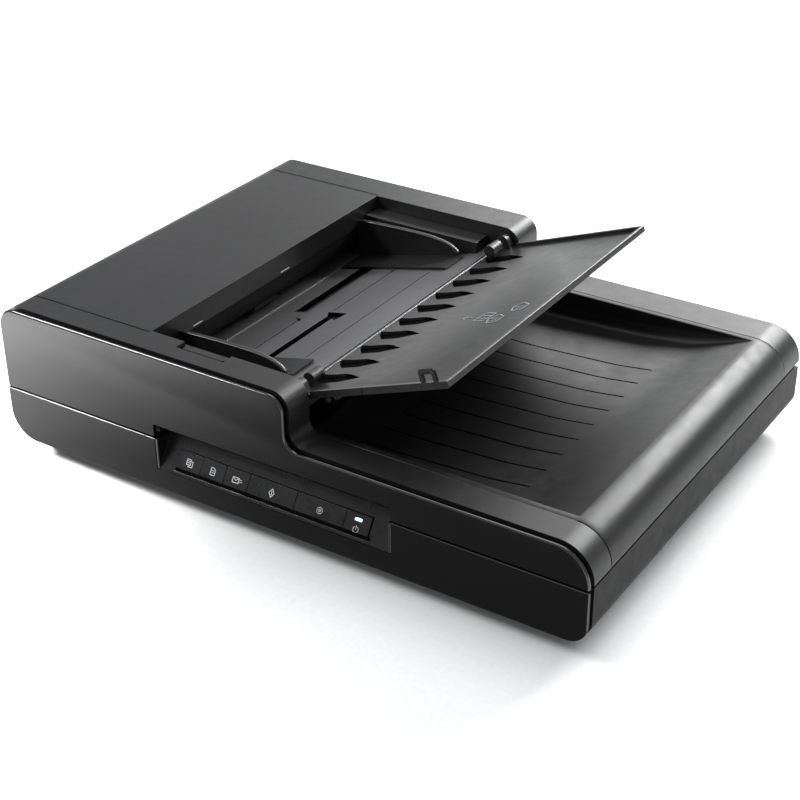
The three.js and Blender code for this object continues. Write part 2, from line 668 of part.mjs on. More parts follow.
function pinionShape() {
  const points = [];
  const tip = rack.radius + 0.75 * rackModule;
  const rootRadius = rack.radius - rackModule;
  for (let i = 0; i < rack.teeth; i += 1) {
    const middle = 2 * Math.PI * i / rack.teeth;
    const step = Math.PI / rack.teeth;
    for (const [radius, share] of [[rootRadius, -0.62], [rack.radius, -0.4], [tip, -0.2],
      [tip, 0.2], [rack.radius, 0.4], [rootRadius, 0.62]]) {
      const angle = middle + share * step;
      points.push(new THREE.Vector2(radius * Math.cos(angle), radius * Math.sin(angle)));
    }
  }
  const shape = new THREE.Shape(points);
  shape.holes.push(new THREE.Path().absarc(0, 0, 3 + clearance, 0, 2 * Math.PI, true));
  return shape;
}

function guidePinion() {
  return tilted(alongZ(pinionShape(), 0, rack.thickness), 0, 0, -rack.drop - rack.thickness - 0.3);
}

// A rack at side +1 or -1 of the pinion in u, from y0 to y1, with its teeth towards the pinion.
function rackBar(side, y0, y1) {
  const root = side * (rack.radius + rackModule);
  const tip = side * (rack.radius - 0.75 * rackModule);
  const back = side * (rack.radius + rackModule + rack.width);
  const points = [[back, y0], [root, y0]];
  const phase = side > 0 ? rackPitch / 2 : (rack.teeth % 2 ? 0 : rackPitch / 2);
  const first = Math.ceil((y0 + rackPitch - phase) / rackPitch);
  const last = Math.floor((y1 - rackPitch - phase) / rackPitch);
  for (let k = first; k <= last; k += 1) {
    const y = k * rackPitch + phase;
    points.push([root, y - 0.3 * rackPitch], [tip, y - 0.1 * rackPitch]);
    points.push([tip, y + 0.1 * rackPitch], [root, y + 0.3 * rackPitch]);
  }
  points.push([root, y1], [back, y1]);
  const ordered = side > 0 ? points : points.reverse();
  return tilted(alongZ(polygon(ordered), 0, rack.thickness), 0, 0, -rack.drop - rack.thickness - 0.3);
}

function sheetGuide(side) {
  const left = coverRightX + 0.6;
  const right = humpRightX - guide.rightX;
  const top = bodyHeight - guide.drop;
  const low = (x) => floorAt(x) + 0.45;
  const inner = side * guideY;
  const outer = side * (guideY + guide.thickness);
  const edge = side * (guideY - guide.flange);
  const span = (a, b) => [Math.min(a, b), Math.max(a, b)];
  const fence = polygon([
    [left, low(left)], [right, low(right)],
    [right, top - 5.5], [right - 1.5, top - 3.9], [right - 5, top - 2.6], [right - 12, top + 0.4],
    [right - 20, top + 1.5], [right - 30, top + 2], [right - 52, top + 1.6], [left, top]]);
  const flange = polygon([
    [left, low(left)], [right + 4, low(right + 4)], [right + 4, low(right + 4) + guide.flangeThickness],
    [left, low(left) + guide.flangeThickness]]);
  const rackSide = side > 0 ? -1 : 1;
  const stemX = side > 0 ? rackX.rear : rackX.front;
  const stemY = side * (guideY - guide.flange + 4);
  const stemEnd = side * (guideY - guide.flange + 4 + rack.stem);
  const stemDepth = (rack.drop + rack.thickness / 2) / Math.cos(floorTilt);
  const stem = box(stemX - 3, stemX + 3, ...span(stemY, stemEnd),
    floorAt(stemX) - stemDepth, floorAt(stemX) + 1.4);
  const rackEnds = span(-side * 14, stemEnd);
  return join(
    alongY(fence, ...span(inner, outer)), alongY(flange, ...span(edge, inner)), stem,
    rackBar(rackSide, ...rackEnds));
}

function sideLedge(side) {
  const left = coverRightX + 0.6;
  const right = humpRightX - 28;
  const top = bodyHeight - (side > 0 ? ledge.drop : ledge.frontDrop);
  const outer = wellY - clearance;
  const inner = outer - ledge.width;
  const low = (x) => floorAt(x) + 0.4;
  const block = polygon([[left, low(left)], [right, low(right)], [right, top], [left, top]]);
  const t = ledge.thickness;
  const hollow = polygon([
    [left + t, low(left) - 6], [right - t, low(right) - 6], [right - t, top - t], [left + t, top - t]]);
  const span = (a, b) => [Math.min(a, b), Math.max(a, b)];
  return cut(join(alongY(block, ...span(side * inner, side * outer))),
    alongY(hollow, ...span(side * (inner + t), side * (outer - t))));
}

const drivePlaneY = wellY + driveBelt.plane;
const driverX = leftX + driver.x;
const driverZ = bodyHeight - driver.down;

function roller({ x, z, shaft, y0, y1, core, coreEnd, radius, tyres }) {
  const parts = [rodAlongY(shaft, x, z, y0, y1)];
  if (core) {
    parts.push(rodAlongY(core, x, z, -coreEnd, coreEnd));
  }
  for (const [a, b] of tyres) {
    parts.push(rodAlongY(radius, x, z, a, b, 24));
  }
  return join(...parts);
}

function drivenPulley(x, z, radius) {
  return solid(rodAlongY(radius, x, z, drivePlaneY - 0.5, drivePlaneY + driveBelt.width + 0.5, 28));
}

const drivenRadius = 5.2;

function transportRoller() {
  const end = drivePlaneY + driveBelt.width + 1;
  const tyres = [[-45, -15], [15, 45]];
  const coreEnd = bodyDepth / 2 - 62.5;
  return roller({ x: turnX, z: turn.z, shaft: turn.shaft, y0: -wellY - 1.8, y1: end,
    core: 6, coreEnd, radius: turn.radius, tyres }).add(drivenPulley(turnX, turn.z, drivenRadius));
}

function ejectRoller() {
  const end = drivePlaneY + driveBelt.width + 1;
  return roller({ x: ejectX, z: eject.z, shaft: turn.shaft, y0: -wellY - 1.8, y1: end,
    radius: eject.radius, tyres: [[-70, -50], [50, 70]] }).add(drivenPulley(ejectX, eject.z, drivenRadius));
}

function feedRoller() {
  return roller({ x: feedX, z: feedZ, shaft: turn.shaft, y0: -26, y1: drivePlaneY - 2.5,
    radius: feed.radius, tyres: [[-18, 18]] });
}

const pickZ = floorStartZ + (pickX - floorStartX) / (floorFlatX - floorStartX) * (floorFlatZ - floorStartZ)
  + pick.radius + 0.4;

function pickRoller() {
  return roller({ x: pickX, z: pickZ, shaft: pick.shaft, y0: -24, y1: 24,
    radius: pick.radius, tyres: [[-14, 14]] });
}

function pickArm() {
  const plates = [-1, 1].map((side) => {
    const y = side * 21.5;
    return box(feedX - 6, pickX + 5, y - 1, y + 1, feedZ - 6, feedZ + 9);
  });
  const roof = box(feedX + 13, pickX + 5, -22.5, 22.5, feedZ + 7.6, feedZ + 9);
  const body = join(...plates, roof);
  return cut(body,
    rodAlongY(turn.shaft + clearance, feedX, feedZ, -30, 30),
    rodAlongY(pick.shaft + clearance, pickX, pickZ, -30, 30));
}

function separationRoller() {
  return roller({ x: feedX, z: retardZ, shaft: feed.retardShaft, y0: -20.5, y1: 20.5,
    radius: feed.retardRadius, tyres: [[-15, 15]] });
}

const pinchZ = turn.z + turn.radius + turn.pinchRadius + 0.4;

function transportPinch() {
  return roller({ x: turnX, z: pinchZ, shaft: 2, y0: -53, y1: 53,
    radius: turn.pinchRadius, tyres: [[-44, -16], [16, 44]] });
}

const ejectPinchZ = eject.z - eject.radius - eject.pinchRadius - 0.4;

function ejectPinch() {
  return roller({ x: ejectX, z: ejectPinchZ, shaft: 2, y0: -77, y1: 77,
    radius: eject.pinchRadius, tyres: [[-69, -51], [51, 69]] });
}

// Curved guide on the left of the transport roller, with ears for the pinch roller.
function turnGuide() {
  const inner = turn.radius + 2;
  const outer = inner + 2;
  const arc = new THREE.Shape();
  const start = THREE.MathUtils.degToRad(125);
  const end = THREE.MathUtils.degToRad(232);
  arc.absarc(turnX, turn.z, outer, start, end, false);
  arc.absarc(turnX, turn.z, inner, end, start, true);
  const y = bodyDepth / 2 - 57.5;
  const flange = box(leftX + 4.5, turnX - outer + 2, -y, y, lidPlateTop + clearance, lidPlateTop + 2.3);
  const parts = [alongY(arc, -y, y), flange];
  for (const side of [-1, 1]) {
    const middle = side * 51;
    const ear = polygon([
      [turnX - 11, turn.z + 5], [turnX + 3.5, pinchZ - 2.6], [turnX + 3.5, pinchZ + 3.5],
      [turnX - 3.5, pinchZ + 3.5], [turnX - 13, turn.z + 5]]);
    parts.push(alongY(ear, middle - 1, middle + 1));
  }
  return cut(join(...parts), rodAlongY(2 + clearance, turnX, pinchZ, -60, 60));
}

function exitGuide() {
  const y = wellY - clearance;
  const left = floorStartX + 2;
  const right = ejectX - 8;
  const low = lidPlateTop + clearance;
  const high = ejectPinchZ + eject.pinchRadius - 0.4;
  const plate = polygon([[left, low], [right, high - 1.6], [right, high], [left, low + 1.6]]);
  const parts = [alongY(plate, -y, y)];
  for (const side of [-1, 1]) {
    const middle = side * 75;
    parts.push(box(right - 3, ejectX + 4, middle - 1, middle + 1, low, high - 0.6));
  }
  return cut(join(...parts), rodAlongY(2 + clearance, ejectX, ejectPinchZ, -90, 90));
}

function scanBackingPlate() {
  const y = stripWindow.y - 2;
  const low = glassTop + 0.7;
  const high = lidPlateTop + clearance + 1.5;
  const outer = bodyDepth / 2 - 46.5;
  const parts = [box(scanX - 9, scanX + 9, -y, y, low, low + 1.7)];
  for (const side of [-1, 1]) {
    const [a, b] = side > 0 ? [y - 2, y] : [-y, -y + 2];
    const [c, d] = side > 0 ? [y - 2, outer] : [-outer, -y + 2];
    parts.push(box(scanX - 4, scanX + 4, a, b, low, high));
    parts.push(box(scanX - 4, scanX + 4, c, d, lidPlateTop + clearance, high));
  }
  return join(...parts);
}

function adfDrivePlate() {
  const y = wellY + 5.2;
  const plate = join(box(turnX - 14, ejectX + 14, y, y + 1.2, lidPlateTop + 1.6, driverZ + 6));
  return cut(plate,
    ...[[turnX, turn.z], [ejectX, eject.z], [feedX, feedZ]].map(([x, z]) =>
      rodAlongY(turn.shaft + clearance, x, z, y - 1, y + 3)));
}

function adfMotor() {
  const y = drivePlaneY + driveBelt.width + 1.5;
  return join(
    rodAlongY(driver.radius, driverX, driverZ, y, y + driver.length, 32),
    box(driverX - 18, driverX + 18, y, y + 1.2, driverZ - 13, driverZ + 6),
    rodAlongY(2, driverX - 15, driverZ - 10, wellY + 6.7, y + 0.5, 16),
    rodAlongY(2, driverX + 15, driverZ - 10, wellY + 6.7, y + 0.5, 16));
}

function motorPulley() {
  return join(
    rodAlongY(driver.pulleyRadius, driverX, driverZ,
      drivePlaneY - 0.5, drivePlaneY + driveBelt.width + 0.5, 28),
    rodAlongY(1.5, driverX, driverZ, drivePlaneY - 2, drivePlaneY + driveBelt.width + 1.1, 16));
}

function adfBelt() {
  const wheels = [
    { x: turnX, y: turn.z, radius: drivenRadius },
    { x: ejectX, y: eject.z, radius: drivenRadius },
    { x: driverX, y: driverZ, radius: driver.pulleyRadius }];
  return alongY(bandShape(wheels, clearance, belt.thickness), drivePlaneY, drivePlaneY + driveBelt.width);
}

// Feeder cover, hinged along its left edge.
const coverHinge = { x: leftX + cover.hingeX, z: cover.sideBottom + cover.hingeUp };

function adfCover() {
  const y = wellY - clearance;
  const arcX = leftX + hump.leftRadius;
  const arcZ = bodyHeight - hump.leftRadius;
  const low = bodyHeight - cover.lipDrop;
  const profile = new THREE.Shape();
  profile.moveTo(leftX, cover.sideBottom);
  profile.lineTo(leftX + wall, cover.sideBottom);
  profile.absarc(arcX, arcZ, hump.leftRadius - wall, Math.PI, Math.PI / 2, true);
  profile.lineTo(coverRightX - wall, bodyHeight - wall);
  profile.lineTo(coverRightX - wall, low);
  profile.lineTo(coverRightX, low);
  profile.lineTo(coverRightX, bodyHeight);
  profile.absarc(arcX, arcZ, hump.leftRadius, Math.PI / 2, Math.PI, false);
  const parts = [alongY(profile, -y, y)];
  for (const side of [-1, 1]) {
    const [a, b] = side > 0 ? [y - 4, y] : [-y, -y + 4];
    const [c, d] = side > 0 ? [y - 1, wellY + 1.8] : [-wellY - 1.8, -y + 1];
    parts.push(rodAlongY(2.6, coverHinge.x + 0.2, coverHinge.z, a, b));
    parts.push(rodAlongY(cover.pinRadius, coverHinge.x, coverHinge.z, c, d));
  }
  return join(...parts);
}

// Feed tray. Its own axes start on the pivot: s along the slope, y across, n up from its face.
function onTray(geometry) {
  const slope = THREE.MathUtils.degToRad(tray.slope);
  return geometry.rotateY(-slope).translate(trayAxisX, 0, trayAxisZ);
}

function feedTray() {
  const y = wellY - 1.8;
  const length = trayAxisX - coverRightX - 0.5;
  const low = -tray.face;
  const face = low + tray.panel;
  const top = low + tray.rim;
  const w = tray.rimWidth;
  const parts = [
    box(-tray.root, length, -y, y, low, face),
    box(8, length, -y, -y + w, low, top),
    box(8, length, y - w, y, low, top),
    box(length - w, length, -y, y, low, top)];
  for (const side of [-1, 1]) {
    const [a, b] = side > 0 ? [y - trayPin.bossLength, y] : [-y, -y + trayPin.bossLength];
    const [c, d] = side > 0 ? [y - 1, wellY + 1.8] : [-wellY - 1.8, -y + 1];
    parts.push(rodAlongY(trayPin.bossRadius, 0, 0, a, b));
    parts.push(box(-trayPin.bossRadius, trayPin.bossRadius, a, b, low, 0));
    parts.push(rodAlongY(trayPin.radius, 0, 0, c, d));
  }
  let body = join(...parts.map(onTray));
  for (let i = 0; i < pockets.count; i += 1) {
    const middle = (i - (pockets.count - 1) / 2) * pockets.pitch + pockets.offset;
    const half = pockets.width / 2;
    const spear = polygon([
      [pockets.start + 11.5, middle - half], [pockets.shoulder + 1.5, middle - half],
      [pockets.tip, middle - 2], [pockets.shoulder - 1.5, middle + half], [pockets.start, middle + half]]);
    body = cut(body, onTray(alongZ(spear, face - pockets.depth, face + 1)));
  }
  return body;
}

// Assembly.
piece('base_pan', basePan(), satinBlack);
piece('base_top_frame', baseTopFrame(), satinBlack);
piece('platen_glass', pane(platenWindow), clearGlass);
piece('scan_strip_glass', pane(stripWindow), clearGlass);
piece('lower_front_cover', lowerFrontCover(), glossBlack);
piece('control_panel', controlPanel(), glossBlack);
buttons();
piece('control_board', controlBoard(), boardGreen);
piece('main_board', mainBoard(), boardGreen);
piece('power_jack', powerJack(), innerBlack);
piece('usb_socket', usbSocket(), steel);
feet();
piece('left_hinge_bracket', hingeBracket(-1), zincPlate);
piece('right_hinge_bracket', hingeBracket(1), zincPlate);
piece('left_hinge_pin', hingePin(-1), steel);
piece('right_hinge_pin', hingePin(1), steel);
piece('guide_rod', rodAlongX(rod.radius, 0, rod.z, leftX + 13.5, rightX - 13.5), steel);
piece('carriage_motor', carriageMotor(), zincPlate);
piece('drive_pulley', flatPulley(pulleyX.drive), softGrey);
piece('idler_pulley', flatPulley(pulleyX.idler), softGrey);
piece('carriage_belt', carriageBelt(), rubberBlack);
piece('scan_carriage', scanCarriage(), innerBlack);
piece('image_sensor', imageSensor(), softGrey);

piece('lid_frame', lidFrame(), satinBlack);
piece('upper_front_cover', upperFrontCover(), glossBlack);
piece('lid_base', lidBase(), satinBlack);
piece('output_tray', outputTray(), satinBlack);
piece('document_mat', documentMat(), whiteFoam);
piece('feed_floor', feedFloor(), innerBlack);
piece('front_guide', sheetGuide(-1), satinBlack);
piece('rear_guide', sheetGuide(1), satinBlack);
piece('guide_pinion', guidePinion(), softGrey);
piece('front_ledge', sideLedge(-1), satinBlack);
piece('rear_ledge', sideLedge(1), satinBlack);
piece('transport_roller', transportRoller(), rubberBlack);
piece('transport_pinch_roller', transportPinch(), softGrey);
piece('turn_guide', turnGuide(), innerBlack);
piece('separation_roller', separationRoller(), greyRubber);
piece('feed_roller', feedRoller(), greyRubber);
piece('pick_roller', pickRoller(), greyRubber);
piece('pick_arm', pickArm(), innerBlack);
piece('eject_roller', ejectRoller(), greyRubber);
piece('eject_pinch_roller', ejectPinch(), softGrey);
piece('exit_guide', exitGuide(), innerBlack);
piece('scan_backing_plate', scanBackingPlate(), whiteFoam);
piece('adf_drive_plate', adfDrivePlate(), zincPlate);
piece('adf_motor', adfMotor(), zincPlate);
piece('motor_pulley', motorPulley(), softGrey);
piece('adf_belt', adfBelt(), rubberBlack);
piece('adf_cover', adfCover(), satinBlack);
piece('feed_tray', feedTray(), satinBlack);

export default scanner;
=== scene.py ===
# Flatbed document scanner with a sheet feeder on its lid: finishes and fine shapes.
# Lengths are in millimetres until a mesh is made, then in metres.
import math

import bmesh
import bpy
from mathutils import Matrix, Vector


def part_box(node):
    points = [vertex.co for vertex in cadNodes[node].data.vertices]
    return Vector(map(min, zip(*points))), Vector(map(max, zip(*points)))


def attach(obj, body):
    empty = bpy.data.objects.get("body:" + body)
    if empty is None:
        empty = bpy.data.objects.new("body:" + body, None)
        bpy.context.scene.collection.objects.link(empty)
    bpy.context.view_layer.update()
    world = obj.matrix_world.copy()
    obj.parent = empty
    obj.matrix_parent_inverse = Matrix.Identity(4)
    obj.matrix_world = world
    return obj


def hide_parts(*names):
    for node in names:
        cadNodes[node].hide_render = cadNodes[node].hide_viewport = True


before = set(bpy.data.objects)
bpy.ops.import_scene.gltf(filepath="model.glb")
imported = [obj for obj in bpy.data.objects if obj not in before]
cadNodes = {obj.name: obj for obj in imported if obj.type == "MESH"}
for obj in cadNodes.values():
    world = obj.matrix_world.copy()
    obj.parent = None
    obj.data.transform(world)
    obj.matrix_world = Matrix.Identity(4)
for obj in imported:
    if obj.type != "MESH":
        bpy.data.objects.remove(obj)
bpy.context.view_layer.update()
mm = 0.001


# Shader helpers
def linear(hexColour):
    channels = [int(hexColour[i:i + 2], 16) / 255 for i in (0, 2, 4)]
    return [c / 12.92 if c <= 0.04045 else ((c + 0.055) / 1.055) ** 2.4 for c in channels] + [1.0]


def addNode(tree, kind, settings=None, inputs=None):
    node = tree.nodes.new("ShaderNode" + kind)
    for name, value in (settings or {}).items():
        setattr(node, name, value)
    for name, value in (inputs or {}).items():
        if isinstance(value, bpy.types.NodeSocket):
            tree.links.new(value, node.inputs[name])
        else:
            node.inputs[name].default_value = value
    return node


def noiseOf(tree, place, size, detail=2.0, rough=0.5):  # size: width of one blob, mm
    return addNode(tree, "TexNoise", inputs={
        "Vector": place, "Scale": 1000 / size / 2, "Detail": detail, "Roughness": rough}).outputs["Fac"]


def spread(tree, value, low, high, fromLow=0.3, fromHigh=0.7):
    return addNode(tree, "MapRange", inputs={
        "Value": value, "From Min": fromLow, "From Max": fromHigh, "To Min": low, "To Max": high,
    }).outputs["Result"]


def between(tree, share, first, second):
    node = addNode(tree, "Mix", {"data_type": "RGBA"})
    tree.links.new(share, node.inputs[0])
    for socket, value in ((node.inputs[6], first), (node.inputs[7], second)):
        if isinstance(value, bpy.types.NodeSocket):
            tree.links.new(value, socket)
        else:
            socket.default_value = value
    return node.outputs[2]


def newMaterial(name):
    material = bpy.data.materials.new(name)
    material.use_nodes = True
    material.node_tree.nodes.clear()
    tree = material.node_tree
    return material, tree, addNode(tree, "TexCoord").outputs["Object"]


def finishShader(tree, settings):
    shader = addNode(tree, "BsdfPrincipled", inputs=settings)
    addNode(tree, "OutputMaterial", inputs={"Surface": shader.outputs["BSDF"]})


def bumpOf(tree, height, depth):  # depth in mm
    return addNode(tree, "Bump", inputs={
        "Height": height, "Distance": depth * mm, "Strength": 1.0}).outputs["Normal"]


# A moulded skin: grain and its depth in mm, clouds the width in mm of the faint colour patches.
def moulded(name, dark, light, rough, grain, depth, roughSpread=0.05, clouds=60, ior=1.5, shine=0.5):
    material, tree, place = newMaterial(name)
    grains = noiseOf(tree, place, grain, 3.0, 0.6)
    cloud = noiseOf(tree, place, clouds, 4.0, 0.55)
    dust = noiseOf(tree, place, 5.0, 5.0, 0.7)
    colour = between(tree, spread(tree, cloud, 0, 1), linear(dark), linear(light))
    finishShader(tree, {
        "Base Color": colour, "Roughness": spread(tree, dust, rough - roughSpread, rough + roughSpread),
        "IOR": ior, "Specular IOR Level": shine, "Normal": bumpOf(tree, grains, depth)})
    return material


# Spark-eroded black ABS: fine matt grain about 0.5 mm across that spreads highlights.
satinAbs = moulded("satin_black_abs", "141415", "1a1a1b", 0.4, 0.6, 0.012, shine=0.42)
# The same grain on the base housing, painted darker and duller as painted shade, since it stands in its own
# shade.
paintedShadeShellAbs = moulded("base_housing_painted_shade_abs", "0d0d0e", "111112", 0.48, 0.8, 0.02, shine=0.12)
# The same ABS from a smoother tool: wider grey sheen for sheets to slide on.
slideAbs = moulded("smooth_tray_abs", "161617", "1c1c1d", 0.36, 0.5, 0.008, shine=0.5)
# Output tray ABS: the same tool finish, dulled by paper dust.
deckAbs = moulded("dulled_tray_abs", "131314", "19191a", 0.4, 0.6, 0.012, 0.06, shine=0.34)
# Polished-tool black ABS: deep black, clear reflections, slight orange peel 3 mm wide.
glossAbs = moulded("polished_black_abs", "050506", "070708", 0.2, 3.0, 0.004, 0.03, 90, shine=0.08)
# Sheet guide ABS: dark, with a faint sheen on the feet.
guideAbs = moulded("sheet_guide_abs", "0c0c0d", "111112", 0.45, 0.6, 0.012, shine=0.4)
# Panel and button ABS: polished once, then hazed by fingers.
panelAbs = moulded("hazed_panel_abs", "0c0c0d", "101011", 0.3, 2.0, 0.005, 0.05, 30, shine=0.3)
# Sheet bed ABS, painted greyer than the other black ABS as a painted sheen; also used as a painted highlight
# along the feed tray's root.
paintedSheenBedAbs = moulded("painted_sheen_bed_abs", "404041", "4a4a4b", 0.4, 0.5, 0.008, shine=0.6)
# Hand-polished rims of the gloss covers: a brighter-reflecting copy of the gloss finish, put only where painted
# highlight lines are wanted.
highlightRimAbs = moulded("polished_rim_painted_highlight_abs", "0a0a0b", "0d0d0e", 0.14, 3.0, 0.003, 0.02, 90, shine=1.0)
# Coarse-grained inner ABS in the shade of the feeder: reads as flat black.
innerAbs = moulded("coarse_inner_abs", "0a0a0a", "101011", 0.62, 0.9, 0.03, 0.06, 40, 1.4, shine=0.25)
# Near-black painted shade for the insides of pockets, slots, grooves and seams.
paintedShadeAbs = moulded("painted_shade_black_abs", "030303", "060606", 0.8, 0.8, 0.02, 0.05, 30, 1.25, shine=0.04)
# Moulded nitrile rubber: dull, with faint talc-like mottling.
blackRubber = moulded("moulded_black_rubber", "101010", "1a1a1a", 0.8, 0.7, 0.03, 0.08, 8, 1.5)
greyRubber = moulded("feed_grey_rubber", "4a4b4d", "5d5e60", 0.75, 0.5, 0.03, 0.08, 6, 1.5)
# Acetal gears and pulleys: waxy light grey, very even.
acetal = moulded("machined_acetal", "a2a3a2", "b4b5b3", 0.38, 0.8, 0.006, 0.05, 12, 1.48)
# Foam-backed white sheet: soft, slightly fibrous.
whiteSheet = moulded("white_foam_sheet", "e9e9e4", "f4f4f0", 0.82, 0.35, 0.02, 0.05, 25, 1.45)
# Pale grey on the raised tray symbols.
paleSymbolGrey = moulded("pale_symbol_grey", "77787a", "88898b", 0.55, 0.4, 0.004, 0.06, 6, 1.45)
# Pale grey print ink.
printInk = moulded("pale_print_ink", "b9bcc0", "cfd2d6", 0.5, 0.3, 0.003, 0.05, 4, 1.45)


def sheetMetal(name, dark, light, rough, stretch, brushed):
    material, tree, place = newMaterial(name)
    lines = addNode(tree, "Mapping", inputs={"Vector": place, "Scale": stretch}).outputs["Vector"]
    streaks = noiseOf(tree, lines, brushed, 4.0, 0.6)
    spangle = addNode(tree, "TexVoronoi", inputs={"Vector": place, "Scale": 1000 / 4}).outputs["Distance"]
    colour = between(tree, spread(tree, spangle, 0, 1, 0.1, 0.8), linear(dark), linear(light))
    finishShader(tree, {
        "Base Color": colour, "Metallic": 1.0,
        "Roughness": spread(tree, streaks, rough - 0.08, rough + 0.08),
        "Normal": bumpOf(tree, streaks, 0.008)})
    return material


# Zinc-plated steel sheet: dull grey metal with faint crystal patches 4 mm wide.
zincSteel = sheetMetal("zinc_plated_steel", "8e9194", "a6a9ab", 0.4, (1, 1, 1), 0.6)
# Ground steel rod: bright, with fine lines round the bar.
groundSteel = sheetMetal("ground_steel_rod", "b6b8ba", "cdcfd0", 0.22, (12, 1, 1), 1.2)


def floatGlass(name):
    material, tree, place = newMaterial(name)
    smudges = noiseOf(tree, place, 30, 5.0, 0.6)
    finishShader(tree, {
        "Base Color": linear("e4f1ee"), "Transmission Weight": 1.0, "IOR": 1.52,
        "Roughness": spread(tree, smudges, 0.0, 0.035, 0.45, 0.75),
        "Normal": bumpOf(tree, smudges, 0.0006)})
    return material


clearGlass = floatGlass("float_glass")  # faint green, nearly flat, light finger marks


def circuitBoard(name):
    material, tree, place = newMaterial(name)
    tracks = addNode(tree, "TexBrick", inputs={
        "Vector": place, "Scale": 1000 / 3.0, "Mortar Size": 0.16, "Mortar Smooth": 0.1,
        "Color1": linear("14512c"), "Color2": linear("1a5e34"), "Mortar": linear("2f8a4e")})
    chips = addNode(tree, "TexVoronoi", {"feature": "F1", "distance": "CHEBYCHEV"}, {
        "Vector": place, "Scale": 1000 / 14}).outputs["Distance"]
    colour = between(tree, spread(tree, chips, 1, 0, 0.18, 0.2), tracks.outputs["Color"], linear("17181a"))
    finishShader(tree, {
        "Base Color": colour, "Roughness": spread(tree, chips, 0.5, 0.28, 0.18, 0.2),
        "Normal": bumpOf(tree, tracks.outputs["Fac"], 0.05)})
    return material


boardGreen = circuitBoard("solder_masked_board")  # green lacquer over copper tracks 3 mm apart


def litLens(name):
    material, tree, place = newMaterial(name)
    glow = noiseOf(tree, place, 2.0)
    finishShader(tree, {
        "Base Color": linear("cfe3ff"), "Roughness": 0.3,
        "Emission Color": between(tree, spread(tree, glow, 0, 1), linear("7fb4ff"), linear("c9e0ff")),
        "Emission Strength": 3.2})
    return material


blueLight = litLens("lit_blue_lens")  # frosted lens over a blue diode

print("materials ready")


# Mesh helpers
def newObject(name, points, faces, material=None):  # points in mm
    mesh = bpy.data.meshes.new(name)
    mesh.from_pydata([[c * mm for c in p] for p in points], [], faces)
    tidy = bmesh.new()
    tidy.from_mesh(mesh)
    bmesh.ops.remove_doubles(tidy, verts=tidy.verts, dist=1e-7)
    bmesh.ops.recalc_face_normals(tidy, faces=tidy.faces)
    tidy.to_mesh(mesh)
    tidy.free()
    obj = bpy.data.objects.new(name, mesh)
    bpy.context.scene.collection.objects.link(obj)
    if material:
        mesh.materials.append(material)
    return obj


def prism(name, outline, axis, low, high, material=None):  # an outline drawn out along one axis
    place = {"x": lambda a, b, t: (t, a, b),
             "y": lambda a, b, t: (a, t, b),
             "z": lambda a, b, t: (a, b, t)}[axis]
    n = len(outline)
    points = [place(a, b, low) for a, b in outline] + [place(a, b, high) for a, b in outline]
    faces = [list(range(n)), list(range(n, 2 * n))]
    faces += [[i, (i + 1) % n, n + (i + 1) % n, n + i] for i in range(n)]
    return newObject(name, points, faces, material)


def boxOutline(x0, y0, x1, y1):
    return [(x0, y0), (x1, y0), (x1, y1), (x0, y1)]


def block(name, x0, x1, y0, y1, z0, z1, material=None):
    return prism(name, boxOutline(x0, y0, x1, y1), "z", z0, z1, material)


def arc(cx, cz, radius, start, end, steps=12):
    angles = [math.radians(start + (end - start) * i / steps) for i in range(steps + 1)]
    return [(cx + radius * math.cos(a), cz + radius * math.sin(a)) for a in angles]


def bar(name, axis, radius, a, b, low, high, material=None, steps=32):  # round, centred on (a, b)
    return prism(name, arc(a, b, radius, 0, 360, steps)[:-1], axis, low, high, material)


def stroke(points, width, closed=False):  # flat outline polygons of a drawn line
    out = []
    pairs = list(zip(points, points[1:] + points[:1])) if closed else list(zip(points, points[1:]))
    for (ax, ay), (bx, by) in pairs:
        length = math.hypot(bx - ax, by - ay) or 1
        tx, ty = (bx - ax) / length * width / 2, (by - ay) / length * width / 2
        out.append([(ax - tx - ty, ay - ty + tx), (bx + tx - ty, by + ty + tx),
                    (bx + tx + ty, by + ty - tx), (ax - tx + ty, ay - ty - tx)])
    return out


def inlay(name, shapes, place, low, high, material):  # flat shapes raised from one surface to another
    points, faces = [], []
    for shape in shapes:
        n, first = len(shape), len(points)
        points += [place(a, b, low) for a, b in shape] + [place(a, b, high) for a, b in shape]
        faces += [[first + i for i in range(n)], [first + n + i for i in range(n)]]
        faces += [[first + i, first + (i + 1) % n, first + n + (i + 1) % n, first + n + i] for i in range(n)]
    return newObject(name, points, faces, material)


def asDrawn(a, b, height):
    return (a, b, height)


def settle(obj):  # keeps the result of the modifiers
    graph = bpy.context.evaluated_depsgraph_get()
    mesh = bpy.data.meshes.new_from_object(obj.evaluated_get(graph))
    old = obj.data
    obj.modifiers.clear()
    obj.data = mesh
    bpy.data.meshes.remove(old)


def combine(obj, tools, operation):
    for tool in tools:
        modifier = obj.modifiers.new("combine", "BOOLEAN")
        modifier.object = tool
        modifier.operation = operation
        modifier.solver = "EXACT"
        modifier.use_self = True
        settle(obj)
        bpy.data.objects.remove(tool)
    return obj


def carve(obj, *tools):
    return combine(obj, tools, "DIFFERENCE")


def fuse(obj, *tools):
    return combine(obj, tools, "UNION")


def roundEdges(obj, width, segments, angle):
    flat = obj.modifiers.new("merge flats", "DECIMATE")
    flat.decimate_type = "DISSOLVE"
    flat.angle_limit = math.radians(0.6)
    edge = obj.modifiers.new("round edges", "BEVEL")
    edge.width = width * mm
    edge.segments = segments
    edge.limit_method = "ANGLE"
    edge.angle_limit = math.radians(angle)
    edge.harden_normals = True


def soften(obj, width, segments=3, angle=32):  # smooth shading and small rounded edges, width in mm
    for polygon in obj.data.polygons:
        polygon.use_smooth = True
    roundEdges(obj, width, segments, angle)
    return obj


